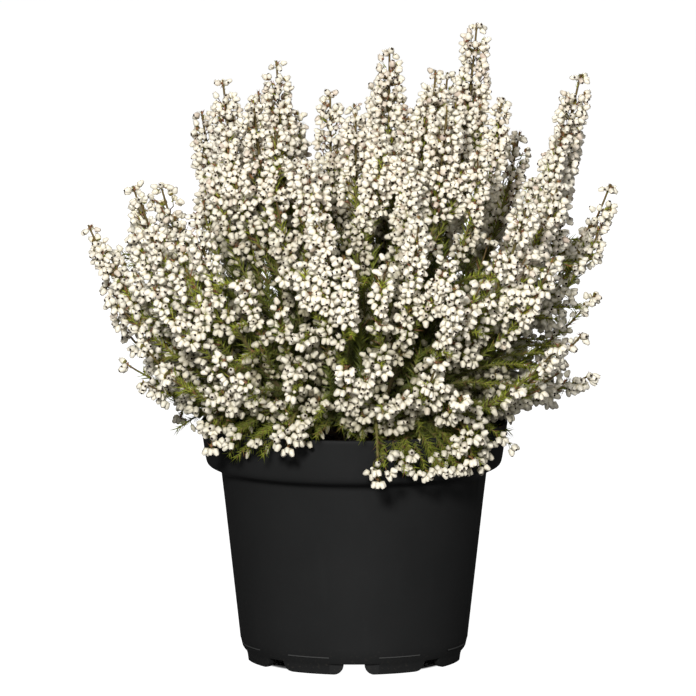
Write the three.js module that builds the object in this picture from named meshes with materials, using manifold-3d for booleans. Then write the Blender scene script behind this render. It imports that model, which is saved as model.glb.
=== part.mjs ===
// A cape heath in a round plastic nursery pot: the pot, its peat, woody branches with needle
// leaves, and the spikes of small white bells that they carry.
// Millimetres, +Z up. The origin is the centre of the pot's foot, on the surface that it stands
// on. The front is -Y, and azimuths turn from +X (the right) towards +Y (the back).
import * as THREE from "three";
import { mergeVertices } from "three/addons/utils/BufferGeometryUtils.js";
import Module from "manifold-3d";

// Clearance between solids that touch on the real plant
const GAP = 0.3;
// Points taken along a spike's line where its distance to another is measured, less those at its root
const SAMPLES = 24;
const ROOT_SAMPLES = 4;

// Pot
const POT_HEIGHT = 101.5;
const POT_SIDES = 36;
const RIM_RADIUS = 65;
const COLLAR_FOOT = { radius: 62.6, z: 85.6 };
const COLLAR_CURVE = { inwards: 1.8, up: 3 };
const BODY_TOP = { radius: 56.1, z: 79.4 };
const BODY_FOOT = { radius: 48.3, z: 9 };
const FOOT_RING = { radius: 45.9, top: 46.7, inner: 43.2, height: 4.8 };
const WALL = 1.4;
const FLOOR = { under: 5, over: 6.5 };
const NOTCH_COUNT = 8;
const NOTCH = { width: 8.6, foot: 13, height: 4.3 };
const RECESS = { width: 21, depth: 1.2, height: 4.5 };
const DRAIN_HOLE = { radius: 4, count: 6, ring: 29 };

// Peat
const PEAT_TOP = 91.5;
const PEAT_SIDES = 20;
const PEAT_RELIEF = 1.4;

// Woody branches
const BRANCH_COUNT = 8;
const TRUNK = { ring: 13, lean: 4, radius: 2.6, topRadius: 2.2, foot: PEAT_TOP - 14, fork: 100 };
const STEM = { radius: 1.5, topRadius: 1.15, sides: 3 };
const NEEDLE = { out: 3.2, rise: 3.8, base: 1.3, spacing: 9, belowBells: 6.8, mostWhorls: 2 };

// Spikes of bells. A bell's sizes and its core's are shares of the spike's radius there. A lean is
// counted from the vertical, and a reach from the crown's centre.
const CROWN_Z = 95;
const BLOOM_FROM = 0.3;
const BLOOM_TO = 0.98;
const BELLS_AROUND = 4;
const BELL = { width: 0.4, height: 0.4, droop: 0.25, tilt: 0.4 };
const CORE = { radius: 0.22, bud: 0.4 };
const SPIKE_RADIUS = { low: 16, least: 3.5 };
const SHARE_OF_ROOM = 0.43;

// The spikes that make the outline seen from the front: x, depth and height of each tip
const OUTLINE = { bells: 29, end: 6.5 };
const OUTLINE_TIPS = [
  [-112, -4, 185],
  [-94, 23, 199],
  [-65, 33, 230],
  [-55, -14, 247],
  [-33, 27, 252],
  [-10, -14, 242],
  [15, 10, 258],
  [34, -25, 252],
  [52, 14, 269],
  [71, 45, 220],
  [95, -8, 249],
  [85, -47, 208],
  [109, 21, 200],
];

// The spikes behind and before them, in rings: lean, reach, number of bells, radius at the end and
// the azimuths that each ring holds
const FILL_RINGS = [
  { lean: 24, reach: 155, bells: 26, end: 7, azimuths: [58, 92, 128, 232, 268, 305] },
  { lean: 44, reach: 142, bells: 24, end: 9, azimuths: [44, 78, 112, 146, 206, 232, 258, 284, 309] },
  {
    lean: 66,
    reach: 109,
    bells: 21,
    end: 11.5,
    azimuths: [4, 32, 62, 92, 122, 152, 180, 208, 236, 264, 292, 322, 344],
  },
];
const REACH_JITTER = 0.07;
const AZIMUTH_JITTER = 5;

// Where an upright spike bends, as shares of its way out and of its height over the crown
const UPRIGHT_BEND = { out: 0.74, up: 0.33 };

// The spikes that hang over the rim: azimuth, reach from the axis and height of each tip
const DROOPER = { hump: 131, bells: 16, end: 11 };
const DROOPER_TIPS = [
  [18, 88, 105],
  [48, 82, 87],
  [108, 82, 87],
  [160, 79, 98],
  [222, 80, 96],
  [250, 80, 99],
  [277, 81, 86],
  [307, 81, 93],
];

const wasm = await Module();
wasm.setup();

const radians = THREE.MathUtils.degToRad;

// A repeatable source of numbers from 0 to 1.
function seededRandom(seed) {
  let state = seed;
  return () => {
    state = (state * 16807) % 2147483647;
    return state / 2147483647;
  };
}

// A closed geometry as a solid that can be cut and joined.
function solidOf(geometry) {
  const bare = geometry.clone();
  bare.deleteAttribute("normal");
  bare.deleteAttribute("uv");
  const merged = mergeVertices(bare, 1e-4);
  return new wasm.Manifold(
    new wasm.Mesh({
      numProp: 3,
      vertProperties: merged.attributes.position.array,
      triVerts: new Uint32Array(merged.index.array),
    }),
  );
}

function geometryOf(solid) {
  const mesh = solid.getMesh();
  return new THREE.BufferGeometry()
    .setAttribute("position", new THREE.BufferAttribute(mesh.vertProperties, 3))
    .setIndex(new THREE.BufferAttribute(mesh.triVerts, 1));
}

function named(name, geometry, material) {
  const mesh = new THREE.Mesh(geometry, material);
  mesh.name = name;
  return mesh;
}

// Points and triangles that become one closed surface.
class Surface {
  constructor() {
    this.points = [];
    this.triangles = [];
  }

  point(vector) {
    this.points.push(vector.x, vector.y, vector.z);
    return this.points.length / 3 - 1;
  }

  triangle(a, b, c) {
    this.triangles.push(a, b, c);
  }

  quad(a, b, c, d) {
    this.triangle(a, b, c);
    this.triangle(a, c, d);
  }

  geometry() {
    return new THREE.BufferGeometry()
      .setAttribute("position", new THREE.Float32BufferAttribute(this.points, 3))
      .setIndex(this.triangles);
  }
}

// Pot

function potProfile() {
  const lip = 0.6;
  const points = [
    [0, FLOOR.under],
    [FOOT_RING.inner, FLOOR.under],
    [FOOT_RING.inner, 0],
    [FOOT_RING.radius, 0],
    [FOOT_RING.top, FOOT_RING.height],
    [BODY_FOOT.radius, BODY_FOOT.z],
    [BODY_TOP.radius, BODY_TOP.z],
    [COLLAR_FOOT.radius - COLLAR_CURVE.inwards, BODY_TOP.z + COLLAR_CURVE.up],
    [COLLAR_FOOT.radius, COLLAR_FOOT.z],
    [RIM_RADIUS, POT_HEIGHT - lip],
    [RIM_RADIUS - lip, POT_HEIGHT],
    [RIM_RADIUS - WALL, POT_HEIGHT],
    [COLLAR_FOOT.radius - WALL, COLLAR_FOOT.z + 0.4],
    [BODY_TOP.radius - WALL, BODY_TOP.z + WALL],
    [BODY_FOOT.radius - WALL, BODY_FOOT.z],
    [BODY_FOOT.radius - WALL - 1.2, FLOOR.over],
    [0, FLOOR.over],
  ];
  return points.map(([r, z]) => new THREE.Vector2(r, z));
}

// A lathe turned so that its axis is Z.
function turned(profile, sides) {
  return new THREE.LatheGeometry(profile, sides).rotateX(Math.PI / 2);
}

// The arch that lets water out under the foot, as a bar that points along +X.
function notchCutter() {
  const { width, foot, height } = NOTCH;
  const arch = new THREE.Shape();
  arch.moveTo(-foot / 2, -1);
  arch.lineTo(foot / 2, -1);
  arch.lineTo(foot / 2 - 0.4, 0.8);
  arch.lineTo(width / 2, height);
  arch.lineTo(-width / 2, height);
  arch.lineTo(-foot / 2 + 0.4, 0.8);
  const bar = new THREE.ExtrudeGeometry(arch, { depth: 12, bevelEnabled: false });
  return bar.rotateX(Math.PI / 2).rotateZ(Math.PI / 2).translate(FOOT_RING.inner - 5, 0, 0);
}

function makePot(material) {
  let pot = solidOf(turned(potProfile(), POT_SIDES));
  for (let i = 0; i < NOTCH_COUNT; i++) {
    const azimuth = (i * 2 * Math.PI) / NOTCH_COUNT;
    pot = pot.subtract(solidOf(notchCutter().rotateZ(azimuth)));
    if (i % 2) continue;
    const recess = new THREE.BoxGeometry(6, RECESS.width, 2 * RECESS.height)
      .translate(FOOT_RING.radius - RECESS.depth + 3, 0, 0)
      .rotateZ(azimuth);
    pot = pot.subtract(solidOf(recess));
  }
  for (let i = 0; i <= DRAIN_HOLE.count; i++) {
    const ring = i < DRAIN_HOLE.count ? DRAIN_HOLE.ring : 0;
    const azimuth = ((i + 0.5) * 2 * Math.PI) / DRAIN_HOLE.count;
    const drill = new THREE.CylinderGeometry(DRAIN_HOLE.radius, DRAIN_HOLE.radius, 6, 6)
      .rotateX(Math.PI / 2)
      .translate(ring * Math.cos(azimuth), ring * Math.sin(azimuth), FLOOR.over - 1);
    pot = pot.subtract(solidOf(drill));
  }
  return named("pot", geometryOf(pot), material);
}

// Peat

// Low mounds and hollows of the peat's face.
function peatHeight(x, y) {
  return PEAT_RELIEF * (Math.sin(x * 0.21 + 1) * Math.cos(y * 0.17) + 0.5 * Math.sin(x * 0.4 - y * 0.33));
}

function makePeat(material) {
  const squeeze = Math.cos(Math.PI / POT_SIDES);
  const inside = (radius) => (radius - WALL) * squeeze - GAP;
  const profile = [
    [0, FLOOR.over + GAP],
    [inside(BODY_FOOT.radius) - 1.4, FLOOR.over + GAP],
    [inside(BODY_FOOT.radius), BODY_FOOT.z + GAP],
    [inside(BODY_TOP.radius), BODY_TOP.z + WALL + GAP],
    [inside(COLLAR_FOOT.radius), COLLAR_FOOT.z + 0.4 + GAP],
    [inside(COLLAR_FOOT.radius), PEAT_TOP],
    [34, PEAT_TOP],
    [0, PEAT_TOP],
  ];
  const geometry = turned(profile.map(([r, z]) => new THREE.Vector2(r, z)), PEAT_SIDES);
  const position = geometry.attributes.position;
  for (let i = 0; i < position.count; i++) {
    if (position.getZ(i) < PEAT_TOP - 1) continue;
    position.setZ(i, PEAT_TOP + peatHeight(position.getX(i), position.getY(i)));
  }
  let peat = solidOf(geometry);
  for (let k = 0; k < BRANCH_COUNT; k++) {
    peat = peat.subtract(solidOf(trunkGeometry(trunkLine(k), GAP, GAP)));
  }
  return named("peat", geometryOf(peat), material);
}

// Lines that the plant grows along

const azimuthOf = (point) => Math.atan2(point.y, point.x);

function polar(radius, azimuth, z) {
  return new THREE.Vector3(radius * Math.cos(azimuth), radius * Math.sin(azimuth), z);
}

// The middle azimuth of a branch's sector.
const sectorAzimuth = (k) => ((k + 0.5) * 2 * Math.PI) / BRANCH_COUNT;

const sectorOf = (point) =>
  Math.floor((((azimuthOf(point) + 2 * Math.PI) % (2 * Math.PI)) / (2 * Math.PI)) * BRANCH_COUNT);

function trunkLine(k) {
  const azimuth = sectorAzimuth(k);
  return new THREE.LineCurve3(
    polar(TRUNK.ring, azimuth, TRUNK.foot),
    polar(TRUNK.ring + TRUNK.lean, azimuth, TRUNK.fork),
  );
}

// A spike's line: out from the fork and then up, or over the rim and down.
function spineTo(tip, hump) {
  const fork = trunkLine(sectorOf(tip)).v2.clone();
  fork.z -= 2;
  const out = Math.hypot(tip.x, tip.y);
  const upright = {
    radius: TRUNK.ring + (out - TRUNK.ring) * UPRIGHT_BEND.out,
    z: CROWN_Z + (tip.z - CROWN_Z) * UPRIGHT_BEND.up,
  };
  const { radius, z } = hump ? { radius: 0.93 * out, z: hump } : upright;
  return new THREE.QuadraticBezierCurve3(fork, polar(radius, azimuthOf(tip), z), tip);
}

function spikes() {
  const random = seededRandom(7);
  const list = [];
  const add = (tip, { bells, end, hump }) =>
    list.push({ spine: spineTo(tip, hump), sector: sectorOf(tip), bells, end });
  for (const [x, y, z] of OUTLINE_TIPS) add(new THREE.Vector3(x, y, z), OUTLINE);
  for (const ring of FILL_RINGS) {
    for (const azimuth of ring.azimuths) {
      const turn = radians(azimuth + AZIMUTH_JITTER * (2 * random() - 1));
      const length = ring.reach * (1 + REACH_JITTER * (2 * random() - 1));
      const out = length * Math.sin(radians(ring.lean));
      add(polar(out, turn, CROWN_Z + length * Math.cos(radians(ring.lean))), ring);
    }
  }
  for (const [azimuth, out, z] of DROOPER_TIPS) add(polar(out, radians(azimuth), z), DROOPER);
  return list;
}

// The half of the free room round a point that one spike may fill: it stays clear of the other
// spikes, the rim and the peat.
function roomAt(point, own, all) {
  const out = Math.hypot(point.x, point.y);
  let room = Math.hypot(out - RIM_RADIUS, Math.max(0, point.z - POT_HEIGHT)) - GAP;
  if (out < RIM_RADIUS) room = Math.min(room, point.z - PEAT_TOP - 2 * PEAT_RELIEF);
  for (const other of all) {
    if (other === own) continue;
    for (const p of other.samples) room = Math.min(room, SHARE_OF_ROOM * p.distanceTo(point));
  }
  return room;
}

// The directions across a line at a share of its length.
function crossAt(line, share) {
  const along = line.getTangentAt(share);
  const plane = new THREE.Vector3().subVectors(line.v2, line.v0);
  const side = new THREE.Vector3().crossVectors(new THREE.Vector3(0, 0, 1), plane).normalize();
  side.addScaledVector(along, -side.dot(along)).normalize();
  const front = new THREE.Vector3().crossVectors(along, side);
  return { at: line.getPointAt(share), along, side, front };
}

function around({ at, side, front }, radius, angle) {
  return at
    .clone()
    .addScaledVector(side, radius * Math.cos(angle))
    .addScaledVector(front, radius * Math.sin(angle));
}

// Bells

// A spike of bells: a slim core that a spiral of bells is raised from. The core's corners climb it
// in a spiral of their own, and each bell grows from the face between four of them.
function bellSpike(own, all) {
  const { spine, bells, end } = own;
  const surface = new Surface();
  const from = BLOOM_FROM + GAP / spine.getLength();
  const turn = (2 * Math.PI) / (BELLS_AROUND + 0.5);
  const corners = bells + BELLS_AROUND;
  const placeAt = (share) => {
    const cross = crossAt(spine, from + (BLOOM_TO - from) * share);
    const wish = THREE.MathUtils.lerp(SPIKE_RADIUS.low, end, share ** 1.6);
    return { cross, reach: Math.max(SPIKE_RADIUS.least, Math.min(wish, roomAt(cross.at, own, all))) };
  };
  for (let n = 0; n <= corners; n++) {
    const share = n / corners;
    const { cross, reach } = placeAt(share);
    surface.point(around(cross, reach * (CORE.radius + CORE.bud * share ** 9), n * turn));
  }
  const foot = surface.point(spine.getPointAt(from));
  const tip = surface.point(spine.getPointAt(1));
  for (let n = 0; n < bells; n++) {
    const middle = (BELLS_AROUND + 1) / 2;
    const { cross, reach } = placeAt((n + middle) / corners);
    const root = [n, n + 1, n + BELLS_AROUND + 1, n + BELLS_AROUND];
    const mouth = mouthPoints(cross, reach, (n + middle) * turn - Math.PI).map((p) => surface.point(p));
    for (let e = 0; e < 4; e++) {
      const after = (e + 1) % 4;
      surface.triangle(root[e], root[after], mouth[e]);
      surface.triangle(root[after], mouth[after], mouth[e]);
    }
    surface.quad(...mouth);
  }
  for (let n = 0; n < BELLS_AROUND; n++) {
    surface.triangle(n + 1, n, foot);
    surface.triangle(bells + n, bells + n + 1, tip);
  }
  surface.triangle(0, BELLS_AROUND, foot);
  surface.triangle(corners, bells, tip);
  return surface.geometry();
}

// The four lobes of a bell's mouth: below, right, above and left.
function mouthPoints(cross, reach, angle) {
  const out = around({ ...cross, at: new THREE.Vector3() }, 1, angle);
  const right = around({ ...cross, at: new THREE.Vector3() }, 1, angle + Math.PI / 2);
  const middle = cross.at
    .clone()
    .addScaledVector(out, reach)
    .addScaledVector(cross.along, -BELL.droop * reach);
  const up = cross.along.clone().addScaledVector(out, BELL.tilt).normalize();
  const halfWidth = BELL.width * reach;
  const halfHeight = BELL.height * reach;
  return [
    middle.clone().addScaledVector(up, -halfHeight),
    middle.clone().addScaledVector(right, halfWidth),
    middle.clone().addScaledVector(up, halfHeight),
    middle.clone().addScaledVector(right, -halfWidth),
  ];
}

// Branches

// A trunk as a six-sided taper, or the hole that it stands in with the clearances given.
function trunkGeometry(line, extraRadius, extraDepth) {
  const length = line.getLength() + extraDepth;
  const taper = new THREE.CylinderGeometry(
    TRUNK.topRadius + extraRadius,
    TRUNK.radius + extraRadius,
    length,
    6,
  ).rotateX(Math.PI / 2);
  const along = line.getTangent(0);
  const middle = line.v2.clone().addScaledVector(along, -length / 2);
  const turn = new THREE.Quaternion().setFromUnitVectors(new THREE.Vector3(0, 0, 1), along);
  return taper.applyQuaternion(turn).translate(middle.x, middle.y, middle.z);
}

// The places along a stem where its rings of corners are, as lengths from the fork. A whorl of
// needles grows between a place that is marked and the next.
function stemPlaces(end) {
  const room = end - NEEDLE.belowBells;
  const whorls = Math.min(NEEDLE.mostWhorls, Math.floor(room / NEEDLE.spacing));
  const plain = room - whorls * NEEDLE.spacing;
  const places = [{ at: 0 }, { at: 0.6 * plain + 1 }];
  for (let w = whorls - 1; w >= 0; w--) {
    const at = room - w * NEEDLE.spacing;
    places.push({ at: at - NEEDLE.base / 2, needles: true }, { at: at + NEEDLE.base / 2 });
  }
  return [...places, { at: end }];
}

// A stem with whorls of needles below its bells. Each needle is raised from one face of the stem.
function leafyStem(spine) {
  const length = spine.getLength();
  const end = BLOOM_FROM * length;
  const places = stemPlaces(end);
  const surface = new Surface();
  const step = (2 * Math.PI) / STEM.sides;
  const rings = places.map(({ at }) => {
    const cross = crossAt(spine, at / length);
    const radius = THREE.MathUtils.lerp(STEM.radius, STEM.topRadius, at / end);
    const corners = [];
    for (let j = 0; j < STEM.sides; j++) corners.push(surface.point(around(cross, radius, j * step)));
    return { cross, corners };
  });
  for (let i = 0; i + 1 < rings.length; i++) {
    const [low, high] = [rings[i].corners, rings[i + 1].corners];
    const { cross } = rings[i + 1];
    for (let j = 0; j < STEM.sides; j++) {
      const next = (j + 1) % STEM.sides;
      const face = [low[j], low[next], high[next], high[j]];
      if (!places[i].needles) {
        surface.quad(...face);
        continue;
      }
      const out = around(cross, NEEDLE.out, (j + 0.5) * step);
      const needle = surface.point(out.addScaledVector(cross.along, NEEDLE.rise));
      for (let e = 0; e < 4; e++) surface.triangle(face[e], face[(e + 1) % 4], needle);
    }
  }
  const [foot, top] = [rings[0].corners, rings[rings.length - 1].corners];
  for (let j = 1; j + 1 < STEM.sides; j++) {
    surface.triangle(foot[0], foot[j + 1], foot[j]);
    surface.triangle(top[0], top[j], top[j + 1]);
  }
  return surface.geometry();
}

function makeBranch(k, all, material) {
  let branch = solidOf(trunkGeometry(trunkLine(k), 0, 0));
  for (const { spine, sector } of all) {
    if (sector === k) branch = branch.add(solidOf(leafyStem(spine)));
  }
  return named(`branch_${k + 1}`, geometryOf(branch), material);
}

// The whole plant

const potPlastic = new THREE.MeshStandardMaterial({ color: 0x1b1c1c, roughness: 0.5 });
const peatFibre = new THREE.MeshStandardMaterial({ color: 0x33241a, roughness: 1 });
const leafGreen = new THREE.MeshStandardMaterial({ color: 0x5d6b2c, roughness: 0.7 });
const bellWhite = new THREE.MeshStandardMaterial({ color: 0xf1ece2, roughness: 0.6 });

const all = spikes();
for (const spike of all) spike.samples = spike.spine.getSpacedPoints(SAMPLES).slice(ROOT_SAMPLES);

const heath = new THREE.Group();
heath.add(makePot(potPlastic), makePeat(peatFibre));
for (let k = 0; k < BRANCH_COUNT; k++) heath.add(makeBranch(k, all, leafGreen));
all.forEach((spike, i) => {
  const name = `blooms_${String(i + 1).padStart(2, "0")}`;
  heath.add(named(name, bellSpike(spike, all), bellWhite));
});

export default heath;
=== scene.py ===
"""A white cape heath in a round black nursery pot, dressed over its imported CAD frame.

Lengths are metres and Z is up. The origin is the centre of the pot's foot and the front is -Y.
Azimuths turn from +X, the right, towards +Y, the back. Sizes in the classes below are in
millimetres, because that is how the pot and the plant were measured.
"""

import logging
import math
import random
from dataclasses import dataclass, field
from enum import Enum
from typing import Callable, Iterable, Mapping, Sequence

import bmesh
import bpy
import numpy as np
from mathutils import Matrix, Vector, noise


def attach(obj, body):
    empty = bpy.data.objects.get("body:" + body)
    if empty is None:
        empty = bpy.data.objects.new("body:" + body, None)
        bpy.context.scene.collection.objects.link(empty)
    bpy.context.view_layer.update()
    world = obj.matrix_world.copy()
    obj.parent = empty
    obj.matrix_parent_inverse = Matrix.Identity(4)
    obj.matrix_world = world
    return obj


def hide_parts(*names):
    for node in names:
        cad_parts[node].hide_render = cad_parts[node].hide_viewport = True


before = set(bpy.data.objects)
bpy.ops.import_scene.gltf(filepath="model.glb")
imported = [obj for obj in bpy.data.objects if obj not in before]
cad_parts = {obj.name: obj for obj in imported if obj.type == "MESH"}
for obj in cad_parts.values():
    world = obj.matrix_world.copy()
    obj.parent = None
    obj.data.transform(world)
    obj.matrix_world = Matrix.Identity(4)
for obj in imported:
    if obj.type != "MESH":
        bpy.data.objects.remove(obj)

MM = 0.001
TURN = 2 * math.pi
GOLDEN_ANGLE = math.pi * (3 - math.sqrt(5))
UP = np.array([0.0, 0.0, 1.0])
NUDGE = np.array([1e-6, 0.0, 0.0])

# The pot's mouth, the peat's level with its relief, and the room left between the CAD solids
RIM_RADIUS = 65.0
POT_HEIGHT = 101.5
PEAT_TOP = 91.5
PEAT_RELIEF = 1.4
CLEARANCE = 0.3

# How many places along a spike are measured
STATIONS = 25

# The point that the crown spreads from, and the crown's face: its reach at each lean from the
# vertical, both seen from the face's own middle
CROWN_HEART = 105.0
FACE_HEART = 95.0
FACE_LEANS = (0.0, 24.0, 44.0, 66.0, 90.0)
FACE_REACHES = (165.0, 156.0, 147.0, 121.0, 103.0)

# Where the photo shows green in place of bells: x, y, height and size of each place
GREEN_PLACES = (
    (80.0, -38.0, 138.0, 34.0),
    (-62.0, -50.0, 122.0, 22.0),
    (28.0, -62.0, 150.0, 20.0),
    (-82.0, -30.0, 150.0, 18.0),
)

log = logging.getLogger("heath")

Point = np.ndarray
Colour = tuple[float, float, float]


def unit(vector: Point) -> Point:
    """Return the vector at a length of one."""
    return vector / max(float(np.linalg.norm(vector)), 1e-12)


def polar(radius: float, azimuth: float, height: float) -> Point:
    """Return the point at a radius and an azimuth in radians, at a height."""
    return np.array([radius * math.cos(azimuth), radius * math.sin(azimuth), height])


def blend(low: float, high: float, share: float) -> float:
    """Return the value that lies at a share of the way from low to high."""
    return low + (high - low) * share


def portion(value: float, start: float, width: float) -> float:
    """Return how far a value is past a start, as a share of a width, held between 0 and 1."""
    return min(max((value - start) / width, 0.0), 1.0)


def across(along: Point, angle: float) -> Point:
    """Return the direction at right angles to a line's own that lies at an angle round it."""
    side = unit(np.cross(along, UP) + NUDGE)
    return side * math.cos(angle) + np.cross(along, side) * math.sin(angle)


def outward(place: Point) -> Point:
    """Return the way out of the crown at a place in millimetres."""
    return unit(np.array([place[0], place[1], (place[2] - CROWN_HEART) * 0.8]))


def depth(places: np.ndarray) -> np.ndarray:
    """Work out how deep places lie inside the crown.

    Args:
        places: The places, in millimetres, one in each row.

    Returns:
        A number for each place, from 0 near the crown's face to 1.
    """
    offsets = places - UP * FACE_HEART
    leans = np.degrees(np.arctan2(np.hypot(offsets[:, 0], offsets[:, 1]), offsets[:, 2]))
    face = np.interp(leans, FACE_LEANS, FACE_REACHES)
    return np.clip((0.88 - np.linalg.norm(offsets, axis=1) / face) / 0.45, 0, 1)


def thinned(place: Point) -> float:
    """Return how much green shows in place of bells at a point, from 0 to 1."""
    shares = (1.4 * (1 - math.dist(place, middle) / size) for *middle, size in GREEN_PLACES)
    return min(max(0.0, *shares), 1.0)


def repeatable(seed: int) -> Iterable[float]:
    """Give numbers from 0 to 1 in an order that the seed settles.

    Args:
        seed: The whole number that the order starts from.

    Returns:
        A generator that never ends.
    """
    state = seed
    while True:
        state = (state * 16807) % 2147483647
        yield state / 2147483647


# Shaders


class Wire:
    """The output of a shader node, which Python's own operators can work on."""

    def __init__(self, graph: "Graph", socket: bpy.types.NodeSocket) -> None:
        """Keep the socket and the graph that it belongs to."""
        self.graph = graph
        self.socket = socket

    def _math(self, operation: str, first: object, second: object) -> "Wire":
        """Add a Math node that works on two values."""
        return self.graph.add("ShaderNodeMath", {"operation": operation}, {0: first, 1: second})

    def __add__(self, other: object) -> "Wire":
        """Add a value or a wire."""
        return self._math("ADD", self, other)

    def __radd__(self, other: object) -> "Wire":
        """Add to a value."""
        return self._math("ADD", other, self)

    def __sub__(self, other: object) -> "Wire":
        """Take a value or a wire away."""
        return self._math("SUBTRACT", self, other)

    def __rsub__(self, other: object) -> "Wire":
        """Take this wire from a value."""
        return self._math("SUBTRACT", other, self)

    def __mul__(self, other: object) -> "Wire":
        """Multiply by a value or a wire."""
        return self._math("MULTIPLY", self, other)

    def __rmul__(self, other: object) -> "Wire":
        """Multiply a value."""
        return self._math("MULTIPLY", other, self)

    def __pow__(self, other: object) -> "Wire":
        """Raise to a power."""
        return self._math("POWER", self, other)


class Graph:
    """A material's node tree while it is drawn up."""

    def __init__(self, name: str) -> None:
        """Start a material with a bare surface shader and its output.

        Args:
            name: The material's name.
        """
        self.material = bpy.data.materials.new(name)
        self.material.use_nodes = True
        self.tree = self.material.node_tree
        self.tree.nodes.clear()
        self.shader = self.tree.nodes.new("ShaderNodeBsdfPrincipled")
        output = self.tree.nodes.new("ShaderNodeOutputMaterial")
        self.tree.links.new(self.shader.outputs["BSDF"], output.inputs["Surface"])

    def add(
        self,
        kind: str,
        settings: Mapping[str, object] | None = None,
        inputs: Mapping[object, object] | None = None,
        result: object = 0,
    ) -> Wire:
        """Add a node.

        Args:
            kind: The node's type.
            settings: What is set on the node itself, with a ramp's stops under "stops".
            inputs: The values and wires of its sockets, by number or name.
            result: The number or name of the output that is wanted.

        Returns:
            The wire of that output.
        """
        node = self.tree.nodes.new(kind)
        for name, value in (settings or {}).items():
            if name == "stops":
                self._set_stops(node, value)
            else:
                setattr(node, name, value)
        for name, value in (inputs or {}).items():
            self.join(value, node.inputs[name])
        return Wire(self, node.outputs[result])

    def join(self, value: object, socket: bpy.types.NodeSocket) -> None:
        """Link a wire to a socket, or set a plain value on it.

        Args:
            value: The wire, or a number or a colour.
            socket: The socket that gets it.
        """
        if isinstance(value, Wire):
            self.tree.links.new(value.socket, socket)
        elif isinstance(value, tuple) and socket.type == "RGBA":
            socket.default_value = (*value, 1.0)
        else:
            socket.default_value = value

    @staticmethod
    def _set_stops(node: bpy.types.Node, stops: Sequence[tuple[float, Colour]]) -> None:
        """Give a colour ramp its stops.

        Args:
            node: The ramp's node.
            stops: The place and the colour of each stop.
        """
        elements = node.color_ramp.elements
        while len(elements) < len(stops):
            elements.new(0.5)
        for element, (place, colour) in zip(elements, stops):
            element.position = place
            element.color = (*colour, 1.0)

    def place(self, scale: Colour = (1.0, 1.0, 1.0)) -> Wire:
        """Return the piece's own coordinates, stretched by a scale."""
        coordinates = self.add("ShaderNodeTexCoord", result="Object")
        return self.add("ShaderNodeMapping", inputs={"Vector": coordinates, "Scale": scale})

    def part(self, axis: str) -> Wire:
        """Return one of the piece's own coordinates: X, Y or Z."""
        return self.add("ShaderNodeSeparateXYZ", inputs={0: self.place()}, result=axis)

    def radius(self) -> Wire:
        """Return the distance from the piece's own Z axis."""
        x, y = self.part("X"), self.part("Y")
        return (x * x + y * y) ** 0.5

    def grain(self, scale: float, detail: float = 4.0, stretch: Colour = (1.0, 1.0, 1.0)) -> Wire:
        """Return a soft noise whose scale is counted per metre."""
        inputs = {"Vector": self.place(stretch), "Scale": scale, "Detail": detail}
        return self.add("ShaderNodeTexNoise", inputs=inputs, result="Fac")

    def attribute(self, name: str) -> Wire:
        """Return a number that the mesh carries at its points."""
        return self.add("ShaderNodeAttribute", {"attribute_name": name}, result="Fac")

    def ramp(self, factor: Wire, stops: Sequence[tuple[float, Colour]]) -> Wire:
        """Return the colours that the stops give to a factor."""
        return self.add("ShaderNodeValToRGB", {"stops": stops}, {"Fac": factor}, "Color")

    def mix(self, factor: object, first: object, second: object) -> Wire:
        """Return a mix of two colours."""
        inputs = {0: factor, 6: first, 7: second}
        return self.add("ShaderNodeMix", {"data_type": "RGBA"}, inputs, 2)

    def clamp(self, wire: Wire, low: float, high: float) -> Wire:
        """Return how far a value is from low to high, held between 0 and 1."""
        inputs = {"Value": wire, "From Min": low, "From Max": high}
        return self.add("ShaderNodeMapRange", {"clamp": True}, inputs)

    def relief(self, height: Wire, depth: float, strength: float) -> Wire:
        """Return the normals of a height, whose full range is a depth in metres."""
        inputs = {"Height": height, "Distance": depth, "Strength": strength}
        return self.add("ShaderNodeBump", inputs=inputs, result="Normal")

    def surface(self, **values: object) -> bpy.types.Material:
        """Set the surface shader's sockets and return the material.

        Args:
            values: Socket names with their spaces as underscores, and what each one gets.

        Returns:
            The finished material.
        """
        for name, value in values.items():
            self.join(value, self.shader.inputs[name.replace("_", " ")])
        return self.material


@dataclass(frozen=True)
class PotPlastic:
    """Black moulded plastic, a little dull, with faint scuffs and dust in its grain, and a painted glint
    along the bead over the foot.
    """

    name: str = "pot_black_plastic"
    black: Colour = (0.0125, 0.0128, 0.0128)
    worn: Colour = (0.017, 0.0172, 0.0172)
    dust: Colour = (0.04, 0.036, 0.03)
    painted_glint: Colour = (0.06, 0.06, 0.059)

    def build(self) -> bpy.types.Material:
        """Return the material."""
        graph = Graph(self.name)
        clouds = graph.grain(38.0, 5.0)
        scuffs = graph.clamp(graph.grain(210.0, 6.0, (1.0, 1.0, 0.16)), 0.56, 0.74)
        height = graph.part("Z")
        foot = 1 - graph.clamp(height, 0.0, 0.012)
        speckle = graph.clamp(graph.grain(900.0, 2.0), 0.6, 0.7)
        colour = graph.mix(clouds, self.black, self.worn)
        colour = graph.mix(scuffs * 0.35, colour, self.worn)
        colour = graph.mix(speckle * (foot * 0.5 + 0.05), colour, self.dust)
        # Painted glint: the bead over the foot is painted lighter, where light would catch it.
        bead = graph.clamp(graph.radius(), 0.04805, 0.0483) * (1 - graph.clamp(height, 0.0081, 0.0084))
        colour = graph.mix(bead, colour, self.painted_glint)
        fine = graph.grain(2600.0, 2.0)
        return graph.surface(
            Base_Color=colour,
            Roughness=clouds * 0.12 + scuffs * 0.1 + 0.5,
            Normal=graph.relief(fine + scuffs * 0.6, 0.00004, 0.35),
            Specular_IOR_Level=0.06,
        )


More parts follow.
